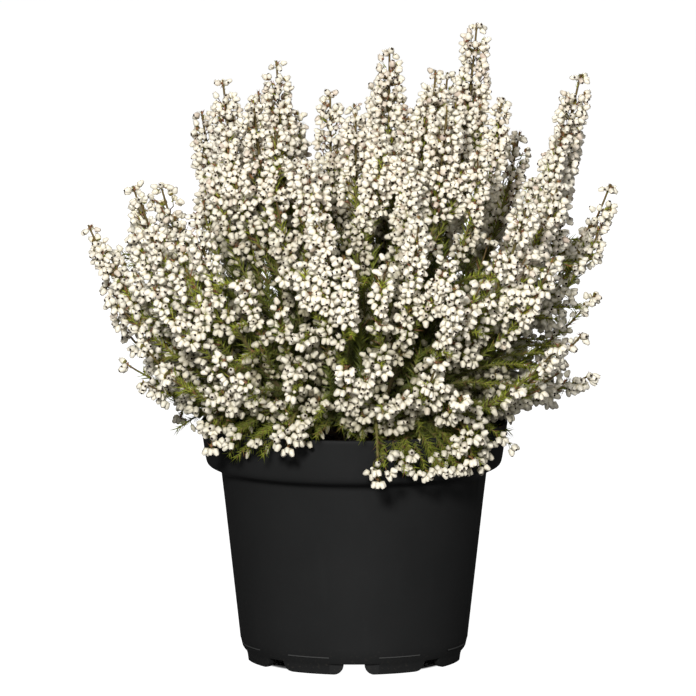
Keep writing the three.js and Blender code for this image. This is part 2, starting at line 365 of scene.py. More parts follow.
@dataclass(frozen=True)
class PeatFibre:
    """Dark damp peat with paler fibres and bits of bark."""

    name: str = "peat_fibre"

    def build(self) -> bpy.types.Material:
        """Return the material."""
        graph = Graph(self.name)
        lumps = graph.grain(260.0, 6.0)
        fibres = graph.clamp(graph.grain(900.0, 4.0, (1.0, 0.22, 0.6)), 0.58, 0.72)
        stops = [(0.25, (0.006, 0.004, 0.003)), (0.5, (0.022, 0.013, 0.008)), (0.8, (0.07, 0.042, 0.024))]
        colour = graph.ramp(lumps, stops)
        colour = graph.mix(fibres * 0.5, colour, (0.14, 0.09, 0.05))
        return graph.surface(
            Base_Color=colour,
            Roughness=0.95 - fibres * 0.15,
            Normal=graph.relief(lumps + fibres * 0.4, 0.0008, 0.7),
            Specular_IOR_Level=0.2,
        )


@dataclass(frozen=True)
class Bark:
    """Brown wood that turns olive and then rusty red towards the flowers."""

    name: str = "heath_bark"

    def build(self) -> bpy.types.Material:
        """Return the material."""
        graph = Graph(self.name)
        stops = [
            (0.0, (0.035, 0.021, 0.013)),
            (0.3, (0.085, 0.058, 0.026)),
            (0.6, (0.15, 0.14, 0.035)),
            (1.0, (0.15, 0.062, 0.03)),
        ]
        colour = graph.ramp(graph.attribute("tone"), stops)
        streaks = graph.clamp(graph.grain(1400.0, 4.0, (1.0, 1.0, 0.2)), 0.35, 0.7)
        colour = graph.mix(streaks * 0.55, colour, (0.03, 0.018, 0.01))
        return graph.surface(
            Base_Color=colour,
            Roughness=0.72 + streaks * 0.15,
            Normal=graph.relief(streaks, 0.0002, 0.5),
            Specular_IOR_Level=0.3,
        )


@dataclass(frozen=True)
class Leaf:
    """Yellow-green needles, each a little different, paler at the tip and darkened with painted shade deep
    in the crown.
    """

    name: str = "heath_leaf"
    shade: Colour = (0.12, 0.15, 0.008)
    bright: Colour = (0.38, 0.42, 0.03)
    dry: Colour = (0.25, 0.10, 0.045)
    deep: Colour = (0.036, 0.047, 0.005)

    def build(self) -> bpy.types.Material:
        """Return the material."""
        graph = Graph(self.name)
        tint = graph.attribute("tint")
        tone = graph.attribute("tone")
        patches = graph.grain(700.0, 3.0)
        colour = graph.mix(graph.clamp(tint * 0.75 + patches * 0.5, 0.2, 1.0), self.shade, self.bright)
        colour = graph.mix(graph.clamp(tone, 0.55, 1.1) * 0.5, colour, self.bright)
        colour = graph.mix(graph.clamp(tint, 0.88, 0.95), colour, self.dry)
        # Painted shade: needles turn towards the deep colour the deeper they lie in the crown.
        colour = graph.mix(graph.clamp(graph.attribute("painted_shade"), 0.2, 0.8) * 0.85, colour, self.deep)
        return graph.surface(
            Base_Color=colour,
            Roughness=0.42 + patches * 0.2,
            Normal=graph.relief(patches, 0.0001, 0.3),
            Specular_IOR_Level=0.4,
        )


@dataclass(frozen=True)
class Petal:
    """White waxy petal: greenish at the calyx and rose-grey on some bells, its own tints and partly painted
    shade, with painted shade on its lobes and deep in the crown.
    """

    name: str = "heath_petal"
    white: Colour = (0.90, 0.845, 0.72)
    cream_and_shade: Colour = (0.80, 0.73, 0.49)
    rose_and_shade: Colour = (0.56, 0.43, 0.34)
    lobe: Colour = (0.84, 0.76, 0.66)
    deep: Colour = (0.24, 0.21, 0.10)

    def build(self) -> bpy.types.Material:
        """Return the material."""
        graph = Graph(self.name)
        tint = graph.attribute("tint")
        tone = graph.attribute("tone")
        mottle = graph.grain(1100.0, 3.0)
        colour = graph.mix(graph.clamp(mottle, 0.35, 0.75) * 0.3, self.white, self.cream_and_shade)
        # Cream towards the calyx: the bell's own greenish foot, and partly painted shade between crowded
        # bells.
        colour = graph.mix((1 - graph.clamp(tone, 0.08, 0.4)) * 0.55, colour, self.cream_and_shade)
        # Rose-grey on bells of high tint: their own tint, and partly painted shade.
        colour = graph.mix(graph.clamp(tint, 0.55, 1.0) * 0.85, colour, self.rose_and_shade)
        # Greyer lobes: painted shade round the mouth.
        colour = graph.mix(graph.clamp(tone, 0.82, 1.0) * 0.6, colour, self.lobe)
        # Painted shade: bells turn towards the deep colour the deeper they lie in the crown.
        colour = graph.mix(graph.clamp(graph.attribute("painted_shade"), 0.14, 0.75) * 0.8, colour, self.deep)
        return graph.surface(
            Base_Color=colour,
            Roughness=0.4 + mottle * 0.15,
            Normal=graph.relief(mottle, 0.00015, 0.35),
            Specular_IOR_Level=0.4,
        )


@dataclass(frozen=True)
class Calyx:
    """The green to rusty cup and stalk that hold each bell."""

    name: str = "heath_calyx"

    def build(self) -> bpy.types.Material:
        """Return the material."""
        graph = Graph(self.name)
        patches = graph.grain(600.0, 3.0)
        mixer = graph.clamp(graph.attribute("tint") * 0.8 + patches * 0.5, 0.35, 0.9)
        colour = graph.mix(mixer, (0.20, 0.22, 0.05), (0.24, 0.08, 0.045))
        return graph.surface(Base_Color=colour, Roughness=0.55 + patches * 0.1, Specular_IOR_Level=0.35)


@dataclass(frozen=True)
class Throat:
    """The dark anthers that fill a bell's mouth, on a near-black disc that also paints the shade of the
    hollow in it.
    """

    name: str = "heath_throat"

    def build(self) -> bpy.types.Material:
        """Return the material."""
        graph = Graph(self.name)
        specks = graph.grain(2400.0, 2.0)
        # Near black: the anthers' own dark, and painted shade of the bell's hollow.
        colour = graph.mix(specks, (0.006, 0.003, 0.002), (0.03, 0.014, 0.008))
        return graph.surface(Base_Color=colour, Roughness=0.85 + specks * 0.1, Specular_IOR_Level=0.1)


@dataclass(frozen=True)
class StudioFloor:
    """Plain pale paper that the pot stands on, lit as brightly as the wall but close to the pot.

    Attributes:
        name: The material's name.
        dark_within: The radius round the pot that keeps its own shade, and where that has faded.
        strip: The half-width of a lit strip under the pot's middle, and where that has faded.
    """

    name: str = "studio_floor"
    dark_within: tuple[float, float] = (0.0405, 0.043)
    strip: tuple[float, float] = (0.0095, 0.0115)

    def build(self) -> bpy.types.Material:
        """Return the material."""
        graph = Graph(self.name)
        clouds = graph.grain(1.5, 2.0)
        colour = graph.mix(clouds, (0.17, 0.17, 0.17), (0.18, 0.18, 0.18))
        beyond = graph.clamp(graph.radius(), *self.dark_within)
        aside = graph.part("X") * graph.part("X")
        strip = 1 - graph.clamp(aside, *(half**2 for half in self.strip))
        lit = graph.add("ShaderNodeMath", {"operation": "MAXIMUM"}, {0: beyond, 1: strip})
        seen = graph.add("ShaderNodeLightPath", result="Is Camera Ray")
        return graph.surface(
            Base_Color=colour,
            Roughness=0.9,
            Specular_IOR_Level=0.1,
            Emission_Color=graph.mix(seen * lit, (0.0, 0.0, 0.0), (1.0, 1.0, 1.0)),
            Emission_Strength=1.0,
        )


# Modelling


def only(*objects: bpy.types.Object) -> None:
    """Select these objects alone and make the first one active."""
    bpy.ops.object.select_all(action="DESELECT")
    for one in objects:
        one.select_set(True)
    bpy.context.view_layer.objects.active = objects[0]


class Turning:
    """A form turned about Z in edit mode, ring by ring."""

    def __init__(self, name: str, sides: int, profile: Sequence[tuple[float, float]]) -> None:
        """Turn a profile.

        Args:
            name: The object's name.
            sides: How many corners each ring has.
            profile: Radius and height of each ring, in metres. A radius of 0 closes an end.
        """
        closed_foot = profile[0][0] == 0
        rings = list(profile[1:] if closed_foot else profile)
        closed_head = rings[-1][0] == 0
        bpy.ops.object.select_all(action="DESELECT")
        bpy.ops.mesh.primitive_circle_add(
            vertices=sides,
            radius=rings[0][0],
            fill_type="TRIFAN" if closed_foot else "NOTHING",
            location=(0, 0, 0),
        )
        self.object = bpy.context.object
        self.object.name = name
        bpy.ops.object.mode_set(mode="EDIT")
        bpy.ops.mesh.select_all(action="SELECT")
        bpy.ops.transform.translate(value=(0, 0, rings[0][1]))
        if closed_foot:
            self.select(lambda co: math.hypot(co.x, co.y) < 1e-6)
            bpy.ops.transform.translate(value=(0, 0, profile[0][1] - rings[0][1]))
            self.select(lambda co: math.hypot(co.x, co.y) > 1e-6)
        radius, height = rings[0]
        for next_radius, next_height in rings[1:]:
            self.extend(radius, height, next_radius or radius * 1e-4, next_height)
            radius, height = next_radius, next_height
        if closed_head:
            bpy.ops.mesh.merge(type="CENTER")
        bpy.ops.mesh.select_all(action="SELECT")
        bpy.ops.mesh.normals_make_consistent(inside=False)
        bpy.ops.mesh.select_all(action="DESELECT")
        bpy.ops.object.mode_set(mode="OBJECT")

    @staticmethod
    def extend(radius: float, height: float, next_radius: float, next_height: float) -> None:
        """Extrude the selected ring.

        Args:
            radius: The ring's radius.
            height: The ring's height.
            next_radius: The radius that the new ring gets.
            next_height: The height that the new ring gets.
        """
        bpy.ops.mesh.extrude_edges_move(TRANSFORM_OT_translate={"value": (0, 0, next_height - height)})
        factor = next_radius / radius
        bpy.ops.transform.resize(value=(factor, factor, 1), center_override=(0, 0, next_height))

    def select(self, wanted: Callable[[Vector], bool]) -> None:
        """Select some of the form's points in edit mode.

        Args:
            wanted: The test that a point's place must pass.
        """
        bpy.ops.mesh.select_mode(type="VERT")
        bpy.ops.mesh.select_all(action="DESELECT")
        mesh = bmesh.from_edit_mesh(self.object.data)
        for vertex in mesh.verts:
            vertex.select = bool(wanted(vertex.co))
        mesh.select_flush_mode()
        mesh.select_flush(True)
        bmesh.update_edit_mesh(self.object.data)


class BellSlot(Enum):
    """The finishes of a piece of bells, in their order on it."""

    PETAL = 0
    CALYX = 1
    THROAT = 2


class WoodSlot(Enum):
    """The finishes of a leafy branch, in their order on it."""

    BARK = 0
    LEAF = 1


@dataclass
class Shape:
    """A small form that was modelled once and is copied many times.

    Attributes:
        points: Its corners, at a length of about one along Z.
        triangles: Its faces.
        slots: The finish of each face.
        tone: A number at each corner that runs along the form.
    """

    points: np.ndarray
    triangles: np.ndarray
    slots: np.ndarray
    tone: np.ndarray

    @classmethod
    def of(cls, piece: bpy.types.Object) -> "Shape":
        """Read a modelled object and remove it.

        Args:
            piece: The object, with its finishes as material numbers.

        Returns:
            The same form, ready to copy.
        """
        only(piece)
        bpy.ops.object.mode_set(mode="EDIT")
        bpy.ops.mesh.select_all(action="SELECT")
        bpy.ops.mesh.quads_convert_to_tris()
        bpy.ops.object.mode_set(mode="OBJECT")
        mesh = piece.data
        points = np.array([vertex.co for vertex in mesh.vertices])
        triangles = np.array([face.vertices for face in mesh.polygons], dtype=np.int32)
        slots = np.array([face.material_index for face in mesh.polygons], dtype=np.int32)
        bpy.data.objects.remove(piece)
        return cls(points, triangles, slots, np.clip(points[:, 2], 0, 1))


class Forms:
    """The plant's small forms, modelled once: bells, a bud, needles and a twig."""

    def __init__(self) -> None:
        """Model every form."""
        self.bell = self._bell()
        self.plain_bell = self._plain_bell()
        self.bud = self._bud()
        self.slender = self._slender()
        self.needle = self._needle([(0.045, 0.0), (0.055, 0.45), (0.0, 1.0)], 0.09)
        self.plain_needle = self._needle([(0.055, 0.0), (0.0, 1.0)], 0.0)
        self.twig = self._twig()

    @staticmethod
    def _mark(piece: bpy.types.Object, slot: BellSlot, wanted: Callable[[Vector], bool]) -> None:
        """Give some of a piece's faces a finish.

        Args:
            piece: The piece.
            slot: The finish.
            wanted: The test that a face's middle must pass.
        """
        for face in piece.data.polygons:
            if wanted(face.center):
                face.material_index = slot.value

    @staticmethod
    def _join(piece: bpy.types.Object, slot: BellSlot, add: Callable[[], object]) -> None:
        """Add a primitive to a piece in edit mode and give it a finish.

        Args:
            piece: The piece.
            slot: The primitive's finish.
            add: What adds the primitive.
        """
        only(piece)
        bpy.ops.object.mode_set(mode="EDIT")
        bpy.ops.mesh.select_all(action="DESELECT")
        add()
        mesh = bmesh.from_edit_mesh(piece.data)
        for face in mesh.faces:
            if face.select:
                face.material_index = slot.value
        bmesh.update_edit_mesh(piece.data)
        bpy.ops.object.mode_set(mode="OBJECT")

    def _add_stalk(self, piece: bpy.types.Object) -> None:
        """Add a tapering stalk under a bell."""
        cone = {"vertices": 3, "radius1": 0.08, "radius2": 0, "depth": 0.56, "end_fill_type": "NOTHING"}
        place = {"location": (0, 0, -0.24), "rotation": (math.pi, 0, 0)}
        self._join(piece, BellSlot.CALYX, lambda: bpy.ops.mesh.primitive_cone_add(**cone, **place))

    def _add_throat(self, piece: bpy.types.Object, sides: int, radius: float, height: float) -> None:
        """Add the dark disc in a bell's mouth.

        Args:
            piece: The bell.
            sides: How many corners the disc has.
            radius: Its radius, as a share of the bell's length.
            height: How far along the bell it stands.
        """
        disc = {"vertices": sides, "radius": radius, "fill_type": "NGON", "location": (0, 0, height)}
        self._join(piece, BellSlot.THROAT, lambda: bpy.ops.mesh.primitive_circle_add(**disc))

    def _bell(self) -> Shape:
        """Model an open urn-shaped bell with four lobes.

        Returns:
            The bell, with its calyx, stalk and throat.
        """
        sides = 8
        turned = Turning("bell", sides, [(0, 0), (0.38, 0.12), (0.48, 0.42), (0.31, 0.8), (0.27, 0.99)])
        only(turned.object)
        bpy.ops.object.mode_set(mode="EDIT")
        corner = TURN / sides

        def between_lobes(co: Vector) -> bool:
            """Tell the lobe ring's every second corner."""
            return co.z > 0.95 and round(math.atan2(co.y, co.x) / corner) % 2 == 1

        turned.select(between_lobes)
        bpy.ops.transform.resize(value=(0.5, 0.5, 1), center_override=(0, 0, 0.95))
        bpy.ops.transform.translate(value=(0, 0, -0.09))
        bpy.ops.object.mode_set(mode="OBJECT")
        piece = turned.object
        self._mark(piece, BellSlot.CALYX, lambda middle: middle.z < 0.09)
        self._add_stalk(piece)
        self._add_throat(piece, 6, 0.155, 0.925)
        return Shape.of(piece)

    def _plain_bell(self) -> Shape:
        """Return a simpler bell for places that other bells hide."""
        piece = Turning("plain_bell", 5, [(0, 0), (0.47, 0.28), (0.33, 0.78), (0.17, 0.97)]).object
        self._add_throat(piece, 5, 0.165, 0.972)
        return Shape.of(piece)

    def _bud(self) -> Shape:
        """Return a closed bud."""
        piece = Turning("bud", 5, [(0, 0), (0.3, 0.3), (0.26, 0.7), (0, 1.0)]).object
        self._mark(piece, BellSlot.CALYX, lambda middle: middle.z < 0.25)
        return Shape.of(piece)

    def _slender(self) -> Shape:
        """Return a long narrow bell that hasn't opened."""
        piece = Turning("slender", 6, [(0, 0), (0.2, 0.1), (0.27, 0.55), (0.1, 0.97)]).object
        self._mark(piece, BellSlot.CALYX, lambda middle: middle.z < 0.09)
        self._add_stalk(piece)
        return Shape.of(piece)

    @staticmethod
    def _needle(rings: Sequence[tuple[float, float]], bow: float) -> Shape:
        """Model a three-sided needle that curves towards +X.

        Args:
            rings: The radius and height of each ring of corners.
            bow: Half of how far its tip is bent aside.

        Returns:
            The needle.
        """
        piece = Turning("needle", 3, rings).object
        for vertex in piece.data.vertices:
            vertex.co.x += 2 * bow * vertex.co.z**2
        for face in piece.data.polygons:
            face.material_index = WoodSlot.LEAF.value
        return Shape.of(piece)

    @staticmethod
    def _twig() -> Shape:
        """Return a slim twig that bows towards -X."""
        piece = Turning("twig", 3, [(0.03, 0.0), (0.026, 0.5), (0.02, 1.0)]).object
        for vertex in piece.data.vertices:
            if 0.4 < vertex.co.z < 0.6:
                vertex.co.x -= 0.12
        return Shape.of(piece)


# Lines that the plant grows along


class Line:
    """A smooth line through space, read by its share of length."""

    def __init__(self, points: np.ndarray) -> None:
        """Keep the points and the length that each one lies at."""
        self.points = points
        steps = np.linalg.norm(np.diff(points, axis=0), axis=1)
        self.runs = np.concatenate([[0.0], np.cumsum(steps)])
        self.length = float(self.runs[-1])

    @classmethod
    def arc(cls, start: Point, bend: Point, end: Point, count: int = 64) -> "Line":
        """Draw the line that leaves start towards bend and comes to end from it.

        Args:
            start: Where it starts.
            bend: The point that it bends towards.
            end: Where it ends.
            count: How many points it is kept as.

        Returns:
            The line.
        """
        share = np.linspace(0, 1, count)[:, None]
        points = (1 - share) ** 2 * start + 2 * share * (1 - share) * bend + share**2 * end
        return cls(points)

    def at(self, share: float) -> Point:
        """Return the point at a share of the length."""
        run = share * self.length
        return np.array([np.interp(run, self.runs, self.points[:, axis]) for axis in range(3)])

    def along(self, share: float) -> Point:
        """Return the direction at a share of the length."""
        low, high = max(share - 0.02, 0.0), min(share + 0.02, 1.0)
        return unit(self.at(high) - self.at(low))

    def spaced(self, count: int) -> np.ndarray:
        """Return count + 1 points at even steps."""
        return np.array([self.at(i / count) for i in range(count + 1)])


class Growth:
    """Bells, needles, twigs and stems that become one piece."""

    def __init__(self, seed: int) -> None:
        """Start empty, with a source of numbers that the seed settles."""
        self.random = random.Random(seed)
        self.copies: dict[int, tuple[Shape, list]] = {}
        self.points: list[np.ndarray] = []
        self.triangles: list[np.ndarray] = []
        self.slots: list[np.ndarray] = []
        self.tone: list[np.ndarray] = []
        self.tint: list[np.ndarray] = []
        self.painted_shades: list[np.ndarray] = []
        self.count = 0

    def put(
        self,
        shape: Shape,
        place: Point,
        direction: Point,
        length: float,
        width: float | None = None,
        tint: float | None = None,
        side: Point | None = None,
    ) -> None:
        """Copy a form to a place.

        Args:
            shape: The form.
            place: Where its foot goes, in millimetres.
            direction: Which way it points.
            length: Its length in millimetres.
            width: Its size across, if it isn't the length.
            tint: A number from 0 to 1 that the finish varies by.
            side: Which way its +X side faces, if that matters.
        """
        if side is None:
            side = np.array([self.random.uniform(-1, 1) for _ in range(3)])
        if tint is None:
            tint = self.random.random()
        entry = self.copies.setdefault(id(shape), (shape, []))
        entry[1].append((place, unit(direction), side, length, width or length, tint))

    def _pour(
        self,
        points: np.ndarray,
        triangles: np.ndarray,
        slots: np.ndarray,
        tone: np.ndarray,
        tint: np.ndarray,
        painted_shade: np.ndarray,
    ) -> None:
        """Take in points and faces.

        Args:
            points: The points, in millimetres.
            triangles: The faces, which count from the first of these points.
            slots: The finish of each face.
            tone: Where each point lies along its form, from 0 to 1.
            tint: The number from 0 to 1 that each point's finish varies by.
            painted_shade: How deep in the crown each point lies, from 0 to 1, which the petal and leaf
                finishes turn into painted shade.
        """
        self.points.append(points)
        self.triangles.append(triangles + self.count)
        self.slots.append(slots)
        self.tone.append(tone)
        self.tint.append(tint)
        self.painted_shades.append(painted_shade)
        self.count += len(points)

    def _settle(self) -> None:
        """Turn every copy into points and faces."""
        for shape, entries in self.copies.values():
            place = np.array([entry[0] for entry in entries])
            axis = np.array([entry[1] for entry in entries])
            side = np.array([entry[2] for entry in entries])
            length = np.array([entry[3] for entry in entries])
            width = np.array([entry[4] for entry in entries])
            tint = np.array([entry[5] for entry in entries])
            side = side - np.sum(side * axis, axis=1)[:, None] * axis
            side /= np.maximum(np.linalg.norm(side, axis=1), 1e-9)[:, None]
            third = np.cross(axis, side)
            turn = np.stack([side * width[:, None], third * width[:, None], axis * length[:, None]], axis=2)
            points = place[:, None, :] + np.einsum("nij,vj->nvi", turn, shape.points)
            number, corners = len(entries), len(shape.points)
            offsets = (np.arange(number) * corners)[:, None, None]
            self._pour(
                points.reshape(-1, 3),
                (shape.triangles[None] + offsets).reshape(-1, 3),
                np.tile(shape.slots, number),
                np.tile(shape.tone, number),
                np.repeat(tint, corners),
                np.repeat(depth(place), corners),
            )
        self.copies = {}

    def stem(
        self,
        line: Line,
        radii: tuple[float, float],
        tones: tuple[float, float],
        steps: int,
        sides: int,
    ) -> None:
        """Sweep a round stem along a line.

        Args:
            line: The line, in millimetres.
            radii: The radius at its start and its end.
            tones: The tone at its start and its end.
            steps: How many lengths it is swept in.
            sides: How many corners its section has.
        """
        side = unit(np.cross(UP, line.at(1) - line.at(0)) + NUDGE)
        angles = np.arange(sides)[:, None] * TURN / sides
        rings, tone = [], []
        for i in range(steps + 1):
            share = i / steps
            along = line.along(share)
            side = unit(side - np.dot(side, along) * along)
            front = np.cross(along, side)
            radius = blend(*radii, share) * (1 + 0.1 * math.sin(i * 2.4))
            rings.append(line.at(share) + radius * (np.cos(angles) * side + np.sin(angles) * front))
            tone.extend([blend(*tones, share)] * sides)
        points = np.vstack([*rings, line.at(1)[None]])
        tone.append(tones[1])
        faces = []
        for i in range(steps):
            for j in range(sides):
                a, b = i * sides + j, i * sides + (j + 1) % sides
                faces += [(a, b, b + sides), (a, b + sides, a + sides)]
        last = steps * sides
        faces += [(last + j, last + (j + 1) % sides, last + sides) for j in range(sides)]
        faces = np.array(faces, dtype=np.int32)
        slots = np.full(len(faces), WoodSlot.BARK.value, dtype=np.int32)
        plain = np.ones(len(points))
        self._pour(points, faces, slots, np.array(tone), plain * self.random.random(), depth(points))

    def build(self, name: str, finishes: Sequence[bpy.types.Material]) -> bpy.types.Object:
        """Make the piece.

        Args:
            name: The object's name.
            finishes: Its materials, in the order of their slots.

        Returns:
            The object, at the origin, with smooth faces.
        """
        self._settle()
        points = np.vstack(self.points) * MM
        triangles = np.vstack(self.triangles).astype(np.int32)
        mesh = bpy.data.meshes.new(name)
        mesh.vertices.add(len(points))
        mesh.vertices.foreach_set("co", points.astype(np.float32).ravel())
        mesh.loops.add(triangles.size)
        mesh.loops.foreach_set("vertex_index", triangles.ravel())
        mesh.polygons.add(len(triangles))
        mesh.polygons.foreach_set("loop_start", np.arange(0, triangles.size, 3, dtype=np.int32))
        mesh.polygons.foreach_set("material_index", np.concatenate(self.slots).astype(np.int32))
        mesh.polygons.foreach_set("use_smooth", np.ones(len(triangles), dtype=bool))
        # gloom keeps each point's depth in the crown, which the petal and leaf finishes paint as shade.
        for label, values in (("tone", self.tone), ("tint", self.tint), ("painted_shade", self.painted_shades)):
            layer = mesh.attributes.new(label, "FLOAT", "POINT")
            layer.data.foreach_set("value", np.concatenate(values).astype(np.float32))
        mesh.update(calc_edges=True)
        mesh.validate()
        for finish in finishes:
            mesh.materials.append(finish)
        piece = bpy.data.objects.new(name, mesh)
        bpy.context.scene.collection.objects.link(piece)
        log.info("%s: %d triangles", name, len(triangles))
        return piece


# Pot and peat


@dataclass
class Pot:
    """The nursery pot: tapered body, collar, notched foot ring and drained floor.

    Attributes:
        sides: How many corners the round has.
        foot: Radius and height of the points from under the floor to the top of the foot ring.
        body: The same up the outside of the body.
        collar: The same round the collar and over the rim.
        inside: The same down the inside and across the floor.
        foot_radius: The foot ring's radius, which the recesses are cut into.
        notch_count: How many notches there are, every second one with a recess round it.
        notch_width: A notch's width at its top.
        notch_foot: Its width at the ground, where its sides have flared out.
        notch_height: Its height.
        recess_width: A recess's width, with its depth and height after it.
        bead_profile: Radius and height of the thin bead over the foot.
        bead_gap: How many degrees from a notch's middle the bead stops.
        drain_radius: The radius of a drain hole.
        drain_count: How many drain holes ring the one in the floor's middle.
        drain_ring: The radius of their ring.
        finish: The plastic.
    """

    sides: int = 144
    foot: tuple[tuple[float, float], ...] = (
        (0, 5.0), (20, 5.0), (42.4, 5.0), (42.9, 4.6), (43.2, 0.5), (43.7, 0.0), (45.4, 0.0), (45.9, 0.5),
        (46.3, 3.4), (46.6, 4.4), (47.4, 5.7), (47.9, 7.8), (48.3, 9.2),
    )
    body: tuple[tuple[float, float], ...] = (
        (48.5, 11.2), (50.9, 32.7), (52.8, 49.9), (54.7, 67.1), (56.1, 78.9),
    )
    collar: tuple[tuple[float, float], ...] = (
        (56.25, 79.85), (56.7, 80.5), (57.5, 81.1), (58.8, 81.7), (60.1, 82.3), (61.25, 82.9), (62.0, 83.6),
        (62.5, 84.6), (62.8, 85.9), (63.1, 87.6), (63.6, 91.2), (64.8, 99.6), (65.0, 100.7), (64.9, 101.2),
        (64.5, 101.5), (64.0, 101.5), (63.6, 101.2), (63.4, 100.6),
    )
    inside: tuple[tuple[float, float], ...] = (
        (62.1, 90.0), (61.6, 87.8), (60.9, 86.3), (59.4, 84.9), (56.0, 82.0), (54.8, 81.1), (54.6, 79.4),
        (46.9, 9.0), (46.4, 7.0), (45.7, 6.5), (0, 6.5),
    )
    foot_radius: float = 45.9
    notch_count: int = 8
    notch_width: float = 8.7
    notch_foot: float = 17.0
    notch_height: float = 4.4
    recess_width: float = 21.0
    recess_depth: float = 1.2
    recess_height: float = 4.6
    bead_profile: tuple[tuple[float, float], ...] = ((47.5, 6.9), (48.3, 7.3), (48.35, 7.6), (47.8, 7.9))
    bead_gap: float = 9.5
    drain_radius: float = 4.0
    drain_count: int = 6
    drain_ring: float = 29.0
    finish: PotPlastic = field(default_factory=PotPlastic)

    def build(self) -> bpy.types.Object:
        """Model the pot, cut its foot and floor, and dress it.

        Returns:
            The pot, which stands for its CAD node.
        """
        profile = self.foot + self.body + self.collar + self.inside
        pot = Turning("nursery_pot", self.sides, [(r * MM, z * MM) for r, z in profile]).object
        cutters = [*self._notches(), *self._drains()]
        only(*cutters)
        bpy.ops.object.join()
        cutter = bpy.context.object
        bevel = cutter.modifiers.new("rounded", "BEVEL")
        bevel.width, bevel.segments, bevel.limit_method = 0.7 * MM, 2, "ANGLE"
        bpy.ops.object.modifier_apply(modifier=bevel.name)
        only(pot)
        cut = pot.modifiers.new("cut", "BOOLEAN")
        cut.operation, cut.solver, cut.object = "DIFFERENCE", "EXACT", cutter
        cut.use_self = True
        bpy.ops.object.modifier_apply(modifier=cut.name)
        bpy.data.objects.remove(cutter)
        only(pot, self._bead())
        bpy.ops.object.join()
        bpy.ops.object.shade_smooth_by_angle(angle=math.radians(32))
        pot.data.materials.clear()
        pot.data.materials.append(self.finish.build())
        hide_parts("pot")
        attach(pot, "root")
        log.info("pot: %d faces", len(pot.data.polygons))
        return pot

    @staticmethod
    def _bar(size: tuple[float, float, float], middle: float) -> bpy.types.Object:
        """Make a plain bar on the right of the pot, with its middle at the ground's level.

        Args:
            size: Its sizes along X, Y and Z, in millimetres.
            middle: How far out along X its middle is.

        Returns:
            The bar.
        """
        bpy.ops.object.select_all(action="DESELECT")
        bpy.ops.mesh.primitive_cube_add(size=1, location=(middle * MM, 0, 0))
        bar = bpy.context.object
        bar.scale = tuple(value * MM for value in size)
        bpy.ops.object.transform_apply(location=True, rotation=False, scale=True)
        return bar

    def _notches(self) -> list[bpy.types.Object]:
        """Make the cutters of the foot ring.

        Returns:
            An arch for each notch, and a shallow recess round every second one.
        """
        cutters = []
        for i in range(self.notch_count):
            bars = [self._arch()]
            if i % 2 == 0:
                inner = self.foot_radius - self.recess_depth
                size = (8, self.recess_width, 2 * self.recess_height)
                bars.append(self._bar(size, inner + size[0] / 2))
            for bar in bars:
                only(bar)
                bar.rotation_euler.z = i * TURN / self.notch_count
                bpy.ops.object.transform_apply(location=True, rotation=True, scale=True)
                cutters.append(bar)
        return cutters

    def _arch(self) -> bpy.types.Object:
        """Make the cutter of one notch, whose sides flare out to rounded feet.

        Returns:
            The arch, which points along +X.
        """
        flare = (self.notch_foot - self.notch_width) / 2
        middle = 44.5
        arch = self._bar((12, self.notch_foot, self.notch_height * 2), middle)
        for side in (-1, 1):
            bpy.ops.object.select_all(action="DESELECT")
            bpy.ops.mesh.primitive_cylinder_add(
                vertices=48, radius=MM, depth=16 * MM, rotation=(0, math.pi / 2, 0),
                location=(middle * MM, side * self.notch_foot / 2 * MM, self.notch_height * MM),
            )
            drum = bpy.context.object
            bpy.ops.object.transform_apply(location=False, rotation=True, scale=False)
            drum.scale = (1.0, flare, self.notch_height)
            bpy.ops.object.transform_apply(location=True, rotation=False, scale=True)
            only(arch)
            cut = arch.modifiers.new("flare", "BOOLEAN")
            cut.operation, cut.solver, cut.object = "DIFFERENCE", "EXACT", drum
            bpy.ops.object.modifier_apply(modifier=cut.name)
            bpy.data.objects.remove(drum)
        return arch

    def _bead(self) -> bpy.types.Object:
        """Turn the thin bead over the foot, which leaves out the notches.

        Returns:
            The bead.
        """
        bead = Turning("bead", self.sides, [(r * MM, z * MM) for r, z in self.bead_profile])

        def over_notch(co: Vector) -> bool:
            """Tell whether a point stands over a notch.

            Args:
                co: The point.

            Returns:
                Whether it does.
            """
            step = 360 / self.notch_count
            azimuth = math.degrees(math.atan2(co.y, co.x)) % 360
            number = round(azimuth / step)
            gap = self.bead_gap if number % 2 else self.bead_gap + 2
            return abs(azimuth - number * step) < gap

        only(bead.object)
        bpy.ops.object.mode_set(mode="EDIT")
        bead.select(over_notch)
        bpy.ops.mesh.delete(type="VERT")
        bpy.ops.object.mode_set(mode="OBJECT")
        return bead.object

    def _drains(self) -> list[bpy.types.Object]:
        """Make the drills for the holes in the floor.

        Returns:
            The drills: a ring of them and one in the middle.
        """
        floor_middle = 5.75
        drills = []
        for i in range(self.drain_count + 1):
            ring = self.drain_ring if i < self.drain_count else 0.0
            place = polar(ring * MM, (i + 0.5) * TURN / self.drain_count, floor_middle * MM)
            bpy.ops.object.select_all(action="DESELECT")
            bpy.ops.mesh.primitive_cylinder_add(
                vertices=32, radius=self.drain_radius * MM, depth=6 * MM, location=tuple(place)
            )
            drill = bpy.context.object
            bpy.ops.object.transform_apply(location=True, rotation=True, scale=True)
            drills.append(drill)
        return drills


